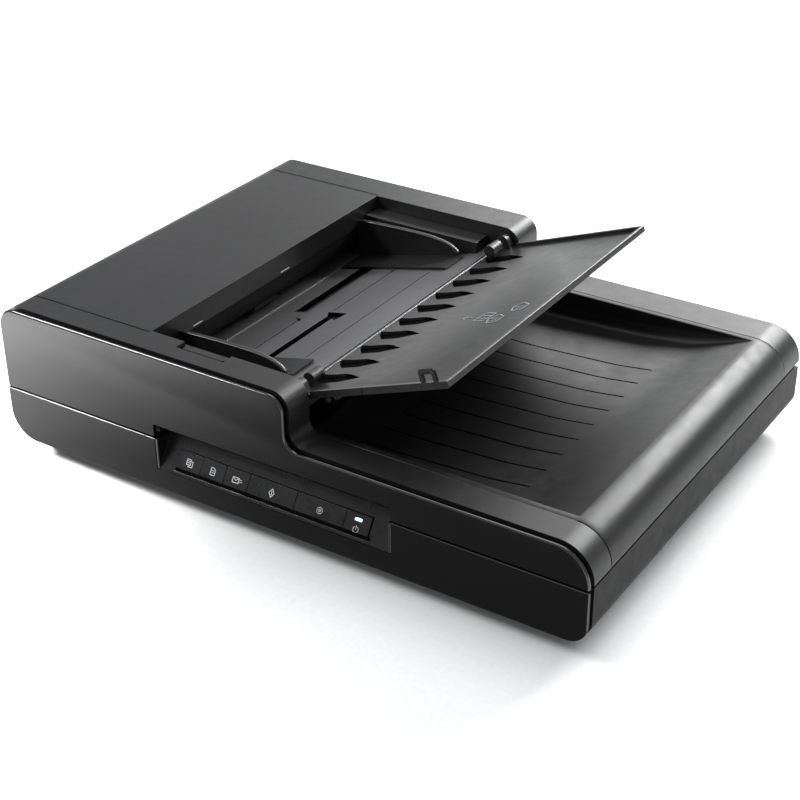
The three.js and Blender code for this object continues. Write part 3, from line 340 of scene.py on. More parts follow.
def weldGroup():  # joins the loose triangles of a frame piece and shades them smooth
    group = bpy.data.node_groups.new("weldAndShade", "GeometryNodeTree")
    group.interface.new_socket("Geometry", in_out="INPUT", socket_type="NodeSocketGeometry")
    group.interface.new_socket("Geometry", in_out="OUTPUT", socket_type="NodeSocketGeometry")
    start = group.nodes.new("NodeGroupInput")
    plain = group.nodes.new("GeometryNodeRemoveAttribute")
    plain.inputs["Name"].default_value = "custom_normal"
    merge = group.nodes.new("GeometryNodeMergeByDistance")
    merge.inputs["Distance"].default_value = 2e-6
    shade = group.nodes.new("GeometryNodeSetShadeSmooth")
    end = group.nodes.new("NodeGroupOutput")
    group.links.new(start.outputs[0], plain.inputs["Geometry"])
    group.links.new(plain.outputs["Geometry"], merge.inputs["Geometry"])
    group.links.new(merge.outputs["Geometry"], shade.inputs["Geometry"])
    group.links.new(shade.outputs[0], end.inputs[0])
    return group


welded = weldGroup()


def dress(material, width, *names, segments=2):  # finish and edge radius in mm for frame pieces
    for name in names:
        obj = cadNodes[name]
        obj.data.materials.clear()
        obj.data.materials.append(material)
        weld = obj.modifiers.new("weld", "NODES")
        weld.node_group = welded
        roundEdges(obj, width, segments, 32)


# CAD pieces that keep their shape
# The base housing pieces take the darker copy of the satin finish as painted shade.
dress(paintedShadeShellAbs, 0.5, "base_pan", segments=3)
dress(paintedShadeShellAbs, 0.3, "base_top_frame")
dress(satinAbs, 0.4, "rear_ledge", "front_ledge", segments=3)
dress(satinAbs, 0.2, "lid_frame", "lid_base", "adf_cover")
dress(guideAbs, 0.3, "front_guide", "rear_guide")
dress(innerAbs, 0.3, "turn_guide", "exit_guide", "pick_arm", "scan_carriage")
dress(panelAbs, 0.35, "control_panel", segments=3)
dress(panelAbs, 0.35, "copy_button", "file_button", "mail_button", "start_button", "stop_button",
      "power_button")
dress(blueLight, 0.15, "power_light_lens")
dress(boardGreen, 0.1, "control_board", "main_board")
dress(blackRubber, 0.5, "front_left_foot", "front_right_foot", "rear_left_foot", "rear_right_foot")
dress(blackRubber, 0.1, "carriage_belt", "adf_belt", "transport_roller")
dress(greyRubber, 0.2, "separation_roller", "feed_roller", "eject_roller")
dress(blackRubber, 0.2, "pick_roller")
dress(innerAbs, 0.15, "guide_pinion")
dress(acetal, 0.2, "transport_pinch_roller", "eject_pinch_roller", "drive_pulley", "idler_pulley",
      "motor_pulley")
dress(zincSteel, 0.2, "left_hinge_bracket", "right_hinge_bracket", "carriage_motor", "adf_motor",
      "adf_drive_plate")
dress(groundSteel, 0.15, "left_hinge_pin", "right_hinge_pin", "guide_rod", "usb_socket")
dress(innerAbs, 0.3, "power_jack", "image_sensor")
dress(clearGlass, 0.2, "platen_glass", "scan_strip_glass")
dress(whiteSheet, 0.3, "document_mat", "scan_backing_plate")

print("frame pieces finished")


# Real sizes of the housings, as in the frame
body = {"left": -234.5, "right": 234.5, "front": -167.5, "baseTop": 55.3, "lidBottom": 56.9, "low": 15.4,
        "baseLeft": 22, "baseRight": 14.5, "top": 120, "humpRight": 14, "deck": 82, "endRadius": 24.5,
        "topLeft": 15, "topRight": 13, "foot": 10, "wellY": 138.8}


def lidOutline(inset):  # x, z outline of the lid's front, pulled in by inset
    b = body
    line = [(b["left"] + inset, b["lidBottom"]), (b["right"] - inset, b["lidBottom"])]
    line += arc(b["right"] - b["endRadius"], b["deck"] - b["endRadius"], b["endRadius"] - inset, 0, 90, 16)
    line += arc(b["humpRight"] + b["foot"], b["deck"] + b["foot"], b["foot"] + inset, 270, 180, 12)
    line += arc(b["humpRight"] - b["topRight"], b["top"] - b["topRight"], b["topRight"] - inset, 0, 90, 16)
    line += arc(b["left"] + b["topLeft"], b["top"] - b["topLeft"], b["topLeft"] - inset, 90, 180, 16)
    return line


def baseOutline(inset):
    b = body
    left, right = b["baseLeft"], b["baseRight"]
    line = [(b["left"] + inset, b["baseTop"] - inset)]
    line += arc(b["left"] + left, b["low"] + left, left - inset, 180, 270, 16)
    line += arc(b["right"] - right, b["low"] + right, right - inset, 270, 360, 16)
    return line + [(b["right"] - inset, b["baseTop"] - inset)]


def loftY(name, rings, material=None):  # rings: (y, outline) pairs with equal point counts
    n = len(rings[0][1])
    points = [(x, y, z) for y, outline in rings for x, z in outline]
    faces = [list(range(n)), list(range(len(points) - n, len(points)))]
    for k in range(len(rings) - 1):
        a, b = k * n, (k + 1) * n
        faces += [[a + i, a + (i + 1) % n, b + (i + 1) % n, b + i] for i in range(n)]
    return newObject(name, points, faces, material)


def roundedRings(outline, edge, steps=5):  # front edge rolled over a quarter circle
    rings = []
    for k in range(steps + 1):
        angle = math.pi / 2 * k / steps
        rings.append((body["front"] + edge * (1 - math.sin(angle)), outline(edge * (1 - math.cos(angle)))))
    return rings[::-1]  # from the front face back


def paint(obj, material, test):  # a second finish for faces whose centre in mm and normal pass the test
    obj.data.materials.append(material)
    index = len(obj.data.materials) - 1
    for polygon in obj.data.polygons:
        if test(polygon.center / mm, polygon.normal):
            polygon.material_index = index


# Gloss front covers: a thick rounded face plate with a groove behind its rim, painted dark as shade.
frontCover = {"upperEdge": 1.6, "lowerEdge": 0.8, "plate": 2.2, "groove": 2.4, "back": -161.3, "wall": 4.6,
              "skin": 2.6, "recessTop": 66.5, "recessLeft": -97.5, "recessRight": 95, "recessFloor": -2.8,
              "recessFoot": -0.35}
panelAt = {"y": -167.2, "z": 31.8, "tilt": 90 - 33.3}  # foot of the sloping button panel


def frontShell(name, outline, edge):
    c = frontCover
    plateBack = body["front"] + c["plate"]
    rings = roundedRings(outline, edge)
    rings += [(plateBack, outline(0)), (plateBack, outline(c["groove"])), (c["back"], outline(c["groove"]))]
    shell = loftY(name, rings, glossAbs)
    hollow = loftY("hollow", [(body["front"] + c["skin"], outline(c["wall"])),
                              (c["back"] + 1, outline(c["wall"]))])
    carve(shell, hollow)
    # Only the upward-facing faces of the rolled front edge take the brighter-reflecting rim finish, as painted
    # highlight lines.
    paint(shell, highlightRimAbs,
          lambda p, n: body["front"] + 0.05 < p.y < body["front"] + edge - 0.02 and n.z > -0.1)
    return shell


def finishCover(cover, node, housing):  # dark behind the face plate, then a fine edge
    # Everything behind the face plate, the groove included, is painted near-black as painted shade.
    paint(cover, paintedShadeAbs, lambda p, n: p.y > body["front"] + frontCover["plate"] + 0.05)
    soften(cover, 0.25, 2, 50)
    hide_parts(node)
    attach(cover, housing)


def panelPoint(x, up, out):  # on the sloping button panel: along it, up its slope, out of its face
    tilt = math.radians(panelAt["tilt"])
    return (x, panelAt["y"] + up * math.cos(tilt) - out * math.sin(tilt),
            panelAt["z"] + up * math.sin(tilt) + out * math.cos(tilt))


upperCover = frontShell("upper_gloss_cover", lidOutline, frontCover["upperEdge"])
upperCover = carve(upperCover, block("opening", frontCover["recessLeft"], frontCover["recessRight"],
                                     -170, -150, 50, frontCover["recessTop"]))
finishCover(upperCover, "upper_front_cover", "lid")

lowerCover = frontShell("lower_gloss_cover", baseOutline, frontCover["lowerEdge"])
foot, floorDepth = frontCover["recessFoot"], frontCover["recessFloor"]
corners = [panelPoint(0, up, out) for up, out in ((foot, floorDepth), (60, floorDepth), (60, 40), (foot, 40))]
lowerCover = carve(lowerCover, prism("slope", [p[1:] for p in corners], "x",
                                     frontCover["recessLeft"], frontCover["recessRight"]))
finishCover(lowerCover, "lower_front_cover", "base")
print("front covers ready")

# Thin bead of the bright rim finish down the right end of the button recess, as a painted highlight along that
# edge.
recessHighlightBead = {"radius": 0.5, "x": 95.1, "y": -167.0, "low": 32.5, "high": 54.6}
bead = bar("recess_end_highlight_bead", "z", recessHighlightBead["radius"], recessHighlightBead["x"], recessHighlightBead["y"], recessHighlightBead["low"],
           recessHighlightBead["high"], highlightRimAbs, 24)
soften(bead, 0.2, 2, 40)
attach(bead, "base")

# Black strip of painted shadow under the button row, with a fine strip of the bright rim finish below it as a
# painted highlight line.
ledge = {"left": -82, "right": 77.2, "low": 2.5, "high": 5.0, "lip": 0.6}
shade = inlay("button_ledge_painted_shadow", [boxOutline(ledge["left"], ledge["low"], ledge["right"], ledge["high"])],
              panelPoint, 0.3, 1.02, paintedShadeAbs)
soften(shade, 0.1, 2, 40)
lip = inlay("button_ledge_highlight_lip", [boxOutline(ledge["left"] - 1, ledge["low"] - ledge["lip"],
                                            ledge["right"] + 1, ledge["low"] - 0.05)],
            panelPoint, -0.2, 0.35, highlightRimAbs)
soften(lip, 0.2, 3, 40)
for piece in (shade, lip):
    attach(piece, "base")

# Output tray: dished floor that rises to the right end, soft fillets along its walls, nine fine grooves.
dish = {"line": [(-8, 62), (60, 62), (130, 65.3), (170, 70.5), (209, 81.6)], "inner": 133.6, "outer": 138.5,
        "fillet": 9, "edge": 0.7, "thickness": 2, "plate": 59.8, "grooveFrom": 34, "grooveTo": 158,
        "grooveHalf": 0.75, "grooveDepth": 1.0, "groovePitch": 22.5, "grooveShift": -13, "grooves": 9,
        "smooth": 9}


def dishFloor(x):  # floor height at x: the straight lines, averaged over a short reach
    def straight(at):
        line = dish["line"]
        for (x0, z0), (x1, z1) in zip(line, line[1:]):
            if at <= x1:
                return z0 + (z1 - z0) * max(0, at - x0) / (x1 - x0)
        return body["deck"]
    reach = min(dish["smooth"], max(0.5, dish["line"][-1][0] - x))
    steps = 9
    return sum(straight(x + reach * (2 * k / (steps - 1) - 1)) for k in range(steps)) / steps


grooveYs = [(k - (dish["grooves"] - 1) / 2) * dish["groovePitch"] + dish["grooveShift"]
            for k in range(dish["grooves"])]


def outputTray():
    d = dish
    endX, endZ, endR = body["right"] - body["endRadius"], body["deck"] - body["endRadius"], body["endRadius"]
    start, stop = d["line"][0][0], d["line"][-1][0] + 0.5
    edges = [d["grooveFrom"], d["grooveFrom"] + 1.2, d["grooveTo"] - 4, d["grooveTo"]]
    stations = []  # x, floor height, wall top, underside
    for x in sorted(set([start + 4 * k for k in range(55)] + edges)):
        if x < stop:
            stations.append((x, dishFloor(x), body["deck"], dishFloor(x) - d["thickness"]))
    for k in range(16):
        t = math.radians(6 * k)
        x, z = endX + endR * math.sin(t), endZ + endR * math.cos(t)
        inner = (endR - 2.4) ** 2 - (x - endX) ** 2
        under = endZ + math.sqrt(inner) if inner > 0 else body["lidBottom"]
        stations.append((x, z, z, min(under, z - 0.6)))
    plain = [y * 1.0 for y in range(-120, 121, 8)]
    columns = [(y, 0) for y in plain if all(abs(y - g) > 2 for g in grooveYs)]
    for g in grooveYs:
        columns += [(g - d["grooveHalf"], 0), (g - d["grooveHalf"] * 0.6, 1), (g + d["grooveHalf"] * 0.6, 1),
                    (g + d["grooveHalf"], 0)]
    columns.sort()
    rings = []
    for x, zf, zr, zu in stations:
        rise = max(zr - zf, 0)
        r = min(d["fillet"], rise * 0.8)
        e = min(d["edge"], rise * 0.15)
        depth = d["grooveDepth"] if d["grooveFrom"] < x < d["grooveTo"] else 0
        side = []
        for k in range(9):
            a = math.radians(90 * k / 8)
            side.append((d["inner"] - r + r * math.sin(a), zf + r * (1 - math.cos(a))))
        for k in range(4):
            a = math.radians(30 * k)
            side.append((d["inner"] + e * (1 - math.cos(a)), zr - e + e * math.sin(a)))
        for k in range(4):
            a = math.radians(30 * k)
            side.append((d["outer"] - 0.5 + 0.5 * math.sin(a), zr - 0.5 * (1 - math.cos(a))))
        foot = d["plate"] if zu > d["plate"] else min(zu, zr - 0.55)
        side += [(d["outer"], foot), (d["outer"] - 2, foot), (d["outer"] - 2, zu)]
        top = [(y, zf - depth * g) for y, g in columns]
        rings.append([(x, -y, z) for y, z in side[::-1]] + [(x, y, z) for y, z in top]
                     + [(x, y, z) for y, z in side])
    n = len(rings[0])
    points = [p for ring in rings for p in ring]
    faces = [list(range(n)), list(range(len(points) - n, len(points)))]
    for k in range(len(rings) - 1):
        a, b = k * n, (k + 1) * n
        faces += [[a + i, a + (i + 1) % n, b + (i + 1) % n, b + i] for i in range(n)]
    return newObject("dished_output_tray", points, faces, deckAbs)


outTray = outputTray()
# The groove floors and walls are painted near-black as painted shade.
paint(outTray, paintedShadeAbs, lambda p, n: dish["grooveFrom"] < p.x < dish["grooveTo"]
      and min(abs(p.y - y) for y in grooveYs) < dish["grooveHalf"] - 0.03
      and p.z > max(dish["plate"] + 0.6, dishFloor(p.x) - 1.6))
for polygon in outTray.data.polygons:
    polygon.use_smooth = True
outTray.data.set_sharp_from_angle(angle=math.radians(34))
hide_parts("output_tray")
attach(outTray, "lid")
print("output tray ready")

# Feed tray, in its own axes: s up the slope from the pivot, y across, n out of the sheet side.
trayAt = {"x": 3.5, "z": 111.0, "slope": 20.4}
trayShape = {"low": -8.7, "face": -6.2, "rim": -3.7, "rimWidth": 2.4, "half": 137.0, "start": -10.5,
             "end": 120.0, "root": 2.3, "pockets": 10, "pitch": 24.3, "shift": -1.3, "pocketDepth": 1.7,
             "pocketHalf": 6.9, "notches": ((52, 53, 0.5), (98.6, 99.4, 0.4))}


def toTray(obj):
    turn = Matrix.Rotation(-math.radians(trayAt["slope"]), 4, "Y")
    obj.data.transform(Matrix.Translation((trayAt["x"] * mm, 0, trayAt["z"] * mm)) @ turn)
    return obj


def feedTray():
    t = trayShape
    outline = [(t["start"], t["low"] + 0.3), (t["start"] + 0.3, t["low"]), (t["end"] - 0.8, t["low"]),
               (t["end"], t["low"] + 0.8)]
    outline += arc(t["end"] - 0.9, t["rim"] - 0.9, 0.9, 0, 90, 5)
    outline += [(t["end"] - t["rimWidth"] + 0.3, t["rim"]), (t["end"] - t["rimWidth"], t["rim"] - 0.3)]
    outline += [(t["end"] - t["rimWidth"] - 0.2, t["face"] + 0.5),
                (t["end"] - t["rimWidth"] - 0.9, t["face"])]
    outline += [(12, t["face"]), (2, t["face"] + 0.25), (-3, t["face"] + 0.75)]
    outline += arc(t["start"] + t["root"], t["face"] - t["root"] + 1.1, t["root"], 90, 180, 8)
    tray = prism("feed_sheet_tray", outline, "y", -t["half"], t["half"], slideAbs)
    rims = []
    for side in (-1, 1):
        a, b = sorted((side * t["half"], side * (t["half"] - t["rimWidth"])))
        rims.append(block("rim", 9, t["end"] - 1, a, b, t["low"] + 0.05, t["rim"]))
        a, b = sorted((side * t["half"], side * (t["half"] - 6)))
        foot = t["low"] + 0.02
        rims.append(prism("boss", [(-5, foot)] + arc(0, 0, 5, 180, 0, 20) + [(5, foot)], "y", a, b))
    fuse(tray, *rims)
    spears = []
    for k in range(t["pockets"]):
        m = (k - (t["pockets"] - 1) / 2) * t["pitch"] + t["shift"]
        h = t["pocketHalf"]
        spears.append([(2, m - h), (17.5, m - h), (25, m - h + 2.4), (33, m - 2), (22, m + h - 2.6),
                       (14.5, m + h), (-9, m + h)])
    carve(tray, inlay("pockets", spears, asDrawn, t["face"] - t["pocketDepth"], t["face"] + 3, None))
    carve(tray, *[block("notch", s0, s1, -t["half"] - 1, -t["half"] + deep, t["low"] - 1, t["rim"] + 1)
                  for s0, s1, deep in t["notches"]])
    # Upward faces along the tray's root are painted the lighter bed grey as a painted highlight line.
    paint(tray, paintedSheenBedAbs, lambda p, n: p.x < t["start"] + 3.2 and n.z > 0.1 and abs(p.y) < 130)
    # The front and rear end faces are painted in the darker inner finish as painted shade.
    paint(tray, innerAbs, lambda p, n: abs(n.y) > 0.9 and abs(p.y) > t["half"] - 0.3)
    # Pocket floors and walls are painted near-black as painted shade.
    paint(tray, paintedShadeAbs, lambda p, n: t["face"] - t["pocketDepth"] - 0.05 < p.z < t["face"] - 0.05
          and t["start"] + 1.2 < p.x < 33.5 and abs(p.y) < 125)
    soften(tray, 0.28, 2, 40)
    return toTray(tray)


tray = feedTray()
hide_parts("feed_tray")
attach(tray, "feed_tray")


# Rolled ridge along the root of the tray, where the sheets cross from tray to bed, made in the lighter bed grey
# as a painted highlight.
ridge = {"at": -8.7, "radius": 1.4, "lift": 0.35, "half": 121}
ridgeLine = arc(ridge["at"], trayShape["face"] + ridge["lift"], ridge["radius"], 0, 180, 14)
ridgeLine += [(ridge["at"] + across, trayShape["low"] + 0.8) for across in (-ridge["radius"], ridge["radius"])]
rootRidge = prism("tray_root_ridge", ridgeLine, "y", -ridge["half"], ridge["half"], paintedSheenBedAbs)
soften(rootRidge, 0.3, 3, 40)
toTray(rootRidge)
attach(rootRidge, "feed_tray")

# Raised sheet-loading symbols in pale grey: an arrow, a page and two sheets with a fold.
loadingSymbols = {"stroke": 0.8, "fine": 0.7, "height": 0.3, "sheets": ((84, -33), (93, -14))}
symbols = []
for s0, y0 in loadingSymbols["sheets"]:
    symbols += stroke([(s0, y0), (s0 + 6.5, y0 + 1), (s0 + 8.5, y0 + 10), (s0 + 2.5, y0 + 14.5),
                       (s0 - 3, y0 + 8)], loadingSymbols["stroke"], True)
    symbols += stroke([(s0 - 1.5, y0 + 8), (s0 + 5.5, y0 + 7.5)], loadingSymbols["fine"])
    symbols += stroke([(s0 + 1.5, y0 + 3.5), (s0 + 5, y0 + 4.5)], loadingSymbols["fine"])
symbols += stroke([(69, -26), (78, -28), (82, -15), (73, -12.5)], loadingSymbols["stroke"], True)
for line in ([(72, -22.5), (78, -23.5)], [(73.5, -18), (79.5, -19)]):
    symbols += stroke(line, loadingSymbols["fine"])
for line in ([(56, -19), (65, -19)], [(59, -16.4), (56, -19), (59, -21.6)]):
    symbols += stroke(line, loadingSymbols["stroke"])
loadingMarks = toTray(inlay("raised_loading_symbols", symbols, asDrawn, trayShape["face"] - 0.1,
                            trayShape["face"] + loadingSymbols["height"], paleSymbolGrey))
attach(loadingMarks, "feed_tray")

# Upright finger loop on the front rim.
loopLine = [(99.8, -5), (99.8, 3.6), (101.2, 5), (111.4, 5), (112.8, 3.6), (112.8, -5), (109.6, -5),
            (109.6, 1.6), (103, 1.6), (103, -5)]
loop = prism("front_rim_loop", loopLine, "y", -136.9, -134.9, innerAbs)
soften(loop, 0.4, 2, 30)
toTray(loop)
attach(loop, "feed_tray")

# Hinge barrels at the tray's front and rear, each on a web.
for side, y0, y1 in (("rear", 111, 124), ("front", -124, -112)):
    barrel = bar(side + "_tray_barrel", "y", 4.6, trayAt["x"], trayAt["z"], y0, y1, satinAbs, 40)
    web = block("web", trayAt["x"] - 2.5, trayAt["x"] + 2.5, y0 + 1, y1 - 1, trayAt["z"] - 7, trayAt["z"])
    fuse(barrel, web)
    soften(barrel, 0.6, 3, 30)
    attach(barrel, "feed_tray")
print("feed tray ready")

# Sheet bed: sloping floor with two slots, a raised start rib and fine score lines. Its own axes: u up the
# slope, y across, w out of the floor.
bed = {"x": -77.0, "z": 85.99, "slope": 13.466, "half": 138.5, "slotDepth": 12, "scoreDepth": 0.5,
       "scores": ((-7.2, -70, -16, 0.45), (11.4, 2, 81, 0.45), (46.4, -79, 81, 0.4)),  # u, y, y, half width
       "rackSlot": (-22.6, -1.5, -10.4, 98), "rib": (-43.2, -86, -42, 86)}
bedArrowSlot = [(13.2, -98), (20, -98), (20, -11.5), (24.7, -15), (27, -1.8), (8.8, -0.4), (13.2, -8)]
bedMarks = [[(-12.6, -12.8), (-4.8, -19.6), (-6.2, -14.2)], [(11.4, 81), (13.4, 83), (11.4, 85), (9.4, 83)]]


def toBed(obj):
    turn = Matrix.Rotation(-math.radians(bed["slope"]), 4, "Y")
    obj.data.transform(Matrix.Translation((bed["x"] * mm, 0, bed["z"] * mm)) @ turn)
    return obj


def bedHeight(p):  # mm above the bed's sloping face
    slope = math.radians(bed["slope"])
    return (p.z - bed["z"]) * math.cos(slope) - (p.x - bed["x"]) * math.sin(slope)


def sheetBed():
    outline = [(-152, 72.4), (-128, 73.8), (-4.8, 103.3), (-4.8, 84.3), (-7.2, 84.3), (-7.2, 100.3),
               (-128, 71.4), (-152, 70)]
    # The bed floor is made in the greyer finish with its painted sheen.
    plate = prism("sheet_bed_floor", outline, "y", -bed["half"], bed["half"], paintedSheenBedAbs)
    ears = [block("ear", -166, -151, y - 1, y + 1, 62.8, 72.3) for y in (-18.5, 18.5)]
    fuse(plate, *ears)
    lines = [boxOutline(u - wide, y0, u + wide, y1) for u, y0, y1, wide in bed["scores"]] + bedMarks
    score = toBed(inlay("score", lines, asDrawn, -bed["scoreDepth"], 1, None))
    slots = toBed(inlay("slots", [boxOutline(*bed["rackSlot"]), bedArrowSlot], asDrawn, -bed["slotDepth"], 2,
                        None))
    shaft = bar("shaft", "y", 2.3, -160, 66.8, -25, 25)
    carve(plate, score, slots, shaft)
    post = toBed(bar("post", "z", 3, 0, 0, -8, -1))
    rib = toBed(inlay("rib", [boxOutline(*bed["rib"])], asDrawn, -0.3, 0.9, None))
    fuse(plate, post, rib)
    # The insides of the slots and score lines are painted near-black as painted shade.
    paint(plate, paintedShadeAbs, lambda p, n: -2.6 < bedHeight(p) < -0.04 and p.x > -125)
    soften(plate, 0.12, 2, 40)
    return plate


bedFloor = sheetBed()
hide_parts("feed_floor")
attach(bedFloor, "lid")
print("sheet bed ready")


# Rolled rims along the tops of the two sheet guides.
guideLine = {"y": 112.1, "path": [(-116.2, 109.2), (-100, 110), (-84, 110.7), (-66, 111.1), (-54, 111.1),
                                  (-46, 110.6), (-38, 109.6), (-32, 108), (-28.5, 106.2), (-25.6, 104.4),
                                  (-24.2, 102.6)],
             "section": [(-1.9, -1.5), (-1.9, 0), (-1.5, 0.5), (-0.7, 0.8), (0.7, 0.8), (1.5, 0.5), (1.9, 0),
                         (1.9, -1.5)]}


def guideRim(side):
    path, section, middle = guideLine["path"], guideLine["section"], side * guideLine["y"]
    points, faces, n = [], [], len(section)
    for k, (x, z) in enumerate(path):
        (ax, az), (bx, bz) = path[max(k - 1, 0)], path[min(k + 1, len(path) - 1)]
        length = math.hypot(bx - ax, bz - az)
        nx, nz = -(bz - az) / length, (bx - ax) / length
        points += [(x + nx * up, middle + across, z + nz * up) for across, up in section]
    for k in range(len(path) - 1):
        a, b = k * n, (k + 1) * n
        faces += [[a + i, a + (i + 1) % n, b + (i + 1) % n, b + i] for i in range(n)]
    faces += [list(range(n)), list(range(len(points) - n, len(points)))]
    name = "front_guide" if side < 0 else "rear_guide"
    rim = newObject(name + "_rim", points, faces, slideAbs)
    rim.modifiers.new("subdivide", "SUBSURF").levels = 2
    rim.modifiers["subdivide"].render_levels = 2
    for polygon in rim.data.polygons:
        polygon.use_smooth = True
    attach(rim, name)


guideRim(-1)
guideRim(1)

# Dark curved inlet shield under the feeder cover, and two pale sheet-width marks on its lip.
shieldLine = [(-118.0, 102.8), (-118.4, 98), (-119.6, 93), (-121.6, 88), (-124, 84.4)]
backLine = [(x - 1.4, z + 0.2) for x, z in shieldLine[::-1]]
shield = prism("inlet_shield", shieldLine + backLine, "y", -136, 136, innerAbs)
soften(shield, 0.3, 2, 40)
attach(shield, "adf_cover")
for place, y0, y1 in (("front", -96, -86), ("middle", 7.5, 18)):
    mark = block(place + "_width_mark", -117.1, -116.85, y0, y1, 104.6, 105.3, printInk)
    soften(mark, 0.08, 2)
    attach(mark, "adf_cover")


# Small locking lever lying in the notch of the front strip, its front face painted near-black as the shade of the
# slit.
leverLine = [(-84.5, -146.6), (-51, -146.6), (-49.4, -145), (-49.4, -140.8), (-78.4, -140.8), (-79.4, -141.8),
             (-82, -141.8), (-83, -140.8), (-84.5, -140.8)]
lever = prism("notch_lock_lever", leverLine, "z", 112, 119.2, satinAbs)
paint(lever, paintedShadeAbs, lambda p, n: n.y < -0.5)
soften(lever, 0.5, 3, 30)
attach(lever, "lid")

# Black strips of painted shade in the two seams between the feeder cover and the lid, along the top and its
# rounded left edge.
seamShade = {"width": 1.0, "stand": 0.05, "depth": 0.7}
coverLow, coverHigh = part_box("adf_cover")


def seamShadeLine(inset):
    b = body
    line = [(coverHigh.x / mm - 0.5, b["top"] - inset)]
    line += arc(b["left"] + b["topLeft"], b["top"] - b["topLeft"], b["topLeft"] - inset, 90, 180, 16)
    return line + [(b["left"] + inset, coverLow.z / mm + 1)]


for side, middle in (("front", coverLow.y / mm), ("rear", coverHigh.y / mm)):
    strip = prism(side + "_cover_seam_shade", seamShadeLine(-seamShade["stand"]) + seamShadeLine(seamShade["depth"])[::-1], "y",
                  middle - seamShade["width"] / 2, middle + seamShade["width"] / 2, paintedShadeAbs)
    soften(strip, 0.04, 2, 40)
    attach(strip, "adf_cover")

# The same strip of painted shade in the seam between the front strip and the rounded end of the output tray.
endX, endZ = body["right"] - body["endRadius"], body["deck"] - body["endRadius"]
outside = arc(endX, endZ, body["endRadius"] + seamShade["stand"], 2, 90, 20)
inside = arc(endX, endZ, body["endRadius"] - seamShade["depth"], 2, 90, 20)
endSeamShade = prism("strip_end_seam_shade", outside + inside[::-1], "y", -dish["outer"] - 0.55, -dish["outer"] + 0.45,
                paintedShadeAbs)
soften(endSeamShade, 0.04, 2, 40)
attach(endSeamShade, "lid")

# Button symbols, printed on the caps in pale ink: drawn round the middle of each cap.
symbolInk = {"low": 0.85, "high": 0.98, "up": 10.4, "powerUp": 8.0}
symbolShapes = {  # name: (points, line width, closed)
    "copy_button": [(boxOutline(-2.6, -1.2, 0.6, 2.6), 0.5, True),
                    ([(1.4, 1.4), (2.4, 1.4), (2.4, -2.4), (-0.8, -2.4), (-0.8, -2.0)], 0.5, False),
                    ([(-1.8, 1.4), (-0.2, 1.4)], 0.4, False), ([(-1.8, 0.2), (-0.2, 0.2)], 0.4, False)],
    "file_button": [([(-1.8, -2.4), (1.8, -2.4), (1.8, 1.4), (0.6, 2.6), (-1.8, 2.6)], 0.5, True),
                    ([(-0.9, 0.8), (0.9, 0.8)], 0.4, False), ([(-0.9, -0.6), (0.9, -0.6)], 0.4, False)],
    "mail_button": [(boxOutline(-3, -1.8, 2, 1.8), 0.5, True),
                    ([(-3, 1.8), (-0.5, -0.2), (2, 1.8)], 0.4, False),
                    ([(2.9, 1), (4.2, 1)], 0.4, False), ([(2.9, -0.4), (4.8, -0.4)], 0.4, False)],
    "start_button": [([(0, -2.9), (2.1, 0), (0, 2.9), (-2.1, 0)], 0.45, True),
                     ([(0, -1.2), (0, 1.2)], 0.5, False)],
    "stop_button": [(arc(0, 0, 2.1, 0, 360, 24)[:-1], 0.42, True),
                    ([(0, -1), (0.8, 0), (0, 1), (-0.8, 0)], 0.4, True)],
    "power_button": [(arc(0, -1.2, 2.0, 125, 415, 20), 0.45, False), ([(0, -0.9), (0, 1.3)], 0.45, False)],
}
for name, drawn in symbolShapes.items():
    low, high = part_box(name)
    middle = (low.x + high.x) / 2 / mm
    up = symbolInk["powerUp"] if name == "power_button" else symbolInk["up"]
    shapes = [part for points, width, closed in drawn for part in stroke(points, width, closed)]
    symbol = inlay(name + "_symbol", shapes, lambda a, b, out: panelPoint(middle + a, up + b, out),
                   symbolInk["low"], symbolInk["high"], printInk)
    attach(symbol, name)
print("small details ready")


# Stage, light and camera
def lookAlong(back, roll):  # rotation whose z axis points back at the viewer
    right = Vector((0, 0, 1)).cross(back).normalized()
    up = back.cross(right)
    turned = math.cos(roll) * right + math.sin(roll) * up
    top = math.cos(roll) * up - math.sin(roll) * right
    return Matrix((turned, top, back)).transposed()


def paperFloor():
    material, tree, place = newMaterial("seamless_paper")  # matt white backdrop paper
    fibre = noiseOf(tree, place, 2.0, 4.0, 0.6)
    finishShader(tree, {
        "Base Color": between(tree, spread(tree, fibre, 0, 1), linear("f4f4f4"), linear("fafafa")),
        "Roughness": 0.95, "Normal": bumpOf(tree, fibre, 0.02)})
    return material


floor = newObject("studio_floor", [(-6000, -6000, 0), (6000, -6000, 0), (6000, 6000, 0), (-6000, 6000, 0)],
                  [[0, 1, 2, 3]], paperFloor())

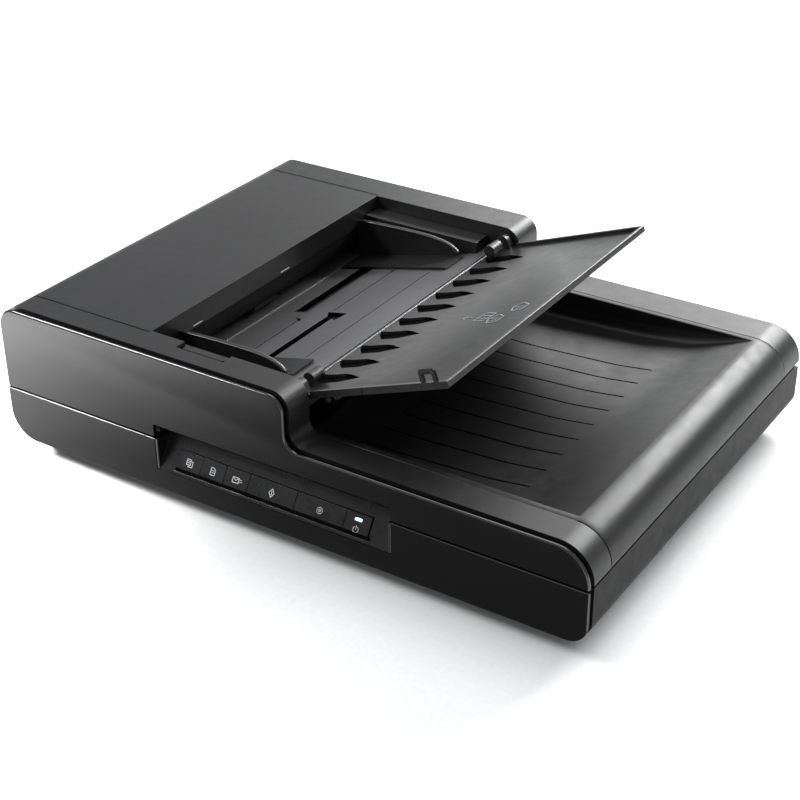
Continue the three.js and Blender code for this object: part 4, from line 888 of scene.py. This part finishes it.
softboxes = {  # place, aim, width and height in metres, power in watts, beam angle in degrees
    "rear_softbox": {"at": (-0.42, 1.75, 0.95), "aim": (0.0, 0.1, 0.1), "size": (1.05, 0.7), "power": 12,
                     "beam": 180},
    "top_softbox": {"at": (-0.2, 0.5, 2.2), "aim": (0.0, 0.0, 0.05), "size": (1.6, 1.6), "power": 20,
                    "beam": 180},
    "edge_strip": {"at": (-0.88, -0.7, 0.9), "aim": (-0.1, -0.1, 0.1), "size": (0.55, 0.12), "power": 9,
                   "beam": 150},
    "low_left_panel": {"at": (-1.45, 1.75, 0.32), "aim": (0.0, 0.0, 0.1), "size": (1.1, 0.45), "power": 1.8,
                       "beam": 150},
    "right_strip": {"at": (0.4, 1.35, 1.0), "aim": (0.25, 0.05, 0.07), "size": (1.0, 0.26), "power": 15,
                    "beam": 120},
    "floor_bounce": {"at": (-0.48, -0.42, 0.4), "aim": (-0.46, -0.4, 0.0), "size": (0.2, 0.2), "power": 11,
                     "beam": 90},
}
for name, box in softboxes.items():
    lamp = bpy.data.lights.new(name, "AREA")
    lamp.shape = "RECTANGLE"
    lamp.size, lamp.size_y = box["size"]
    lamp.energy = box["power"]
    lamp.spread = math.radians(box["beam"])
    lampObject = bpy.data.objects.new(name, lamp)
    bpy.context.scene.collection.objects.link(lampObject)
    away = (Vector(box["at"]) - Vector(box["aim"])).normalized()
    lampObject.matrix_world = Matrix.Translation(box["at"]) @ lookAlong(away, 0.0).to_4x4()
    lampObject.visible_camera = False

world = bpy.data.worlds.new("studio")
bpy.context.scene.world = world
world.use_nodes = True
world.node_tree.nodes["Background"].inputs["Color"].default_value = linear("f2f4f7")
world.node_tree.nodes["Background"].inputs["Strength"].default_value = 0.5
bpy.context.scene.view_settings.view_transform = "Standard"

view = {"azimuth": 33.149, "elevation": 29.841, "roll": -0.544, "lens": 73.85,
        "at": (0.5677, -0.8788, 0.6341)}  # degrees, lens in mm, place in metres
azimuth, elevation = math.radians(view["azimuth"]), math.radians(view["elevation"])
back = Vector((math.sin(azimuth) * math.cos(elevation), -math.cos(azimuth) * math.cos(elevation),
               math.sin(elevation)))
camera = bpy.data.cameras.new("camera")
camera.lens = view["lens"]
camera.sensor_width = 36
cameraObject = bpy.data.objects.new("camera", camera)
bpy.context.scene.collection.objects.link(cameraObject)
turn = lookAlong(back, math.radians(view["roll"])).to_4x4()
cameraObject.matrix_world = Matrix.Translation(view["at"]) @ turn
bpy.context.scene.camera = cameraObject

print("stage ready")
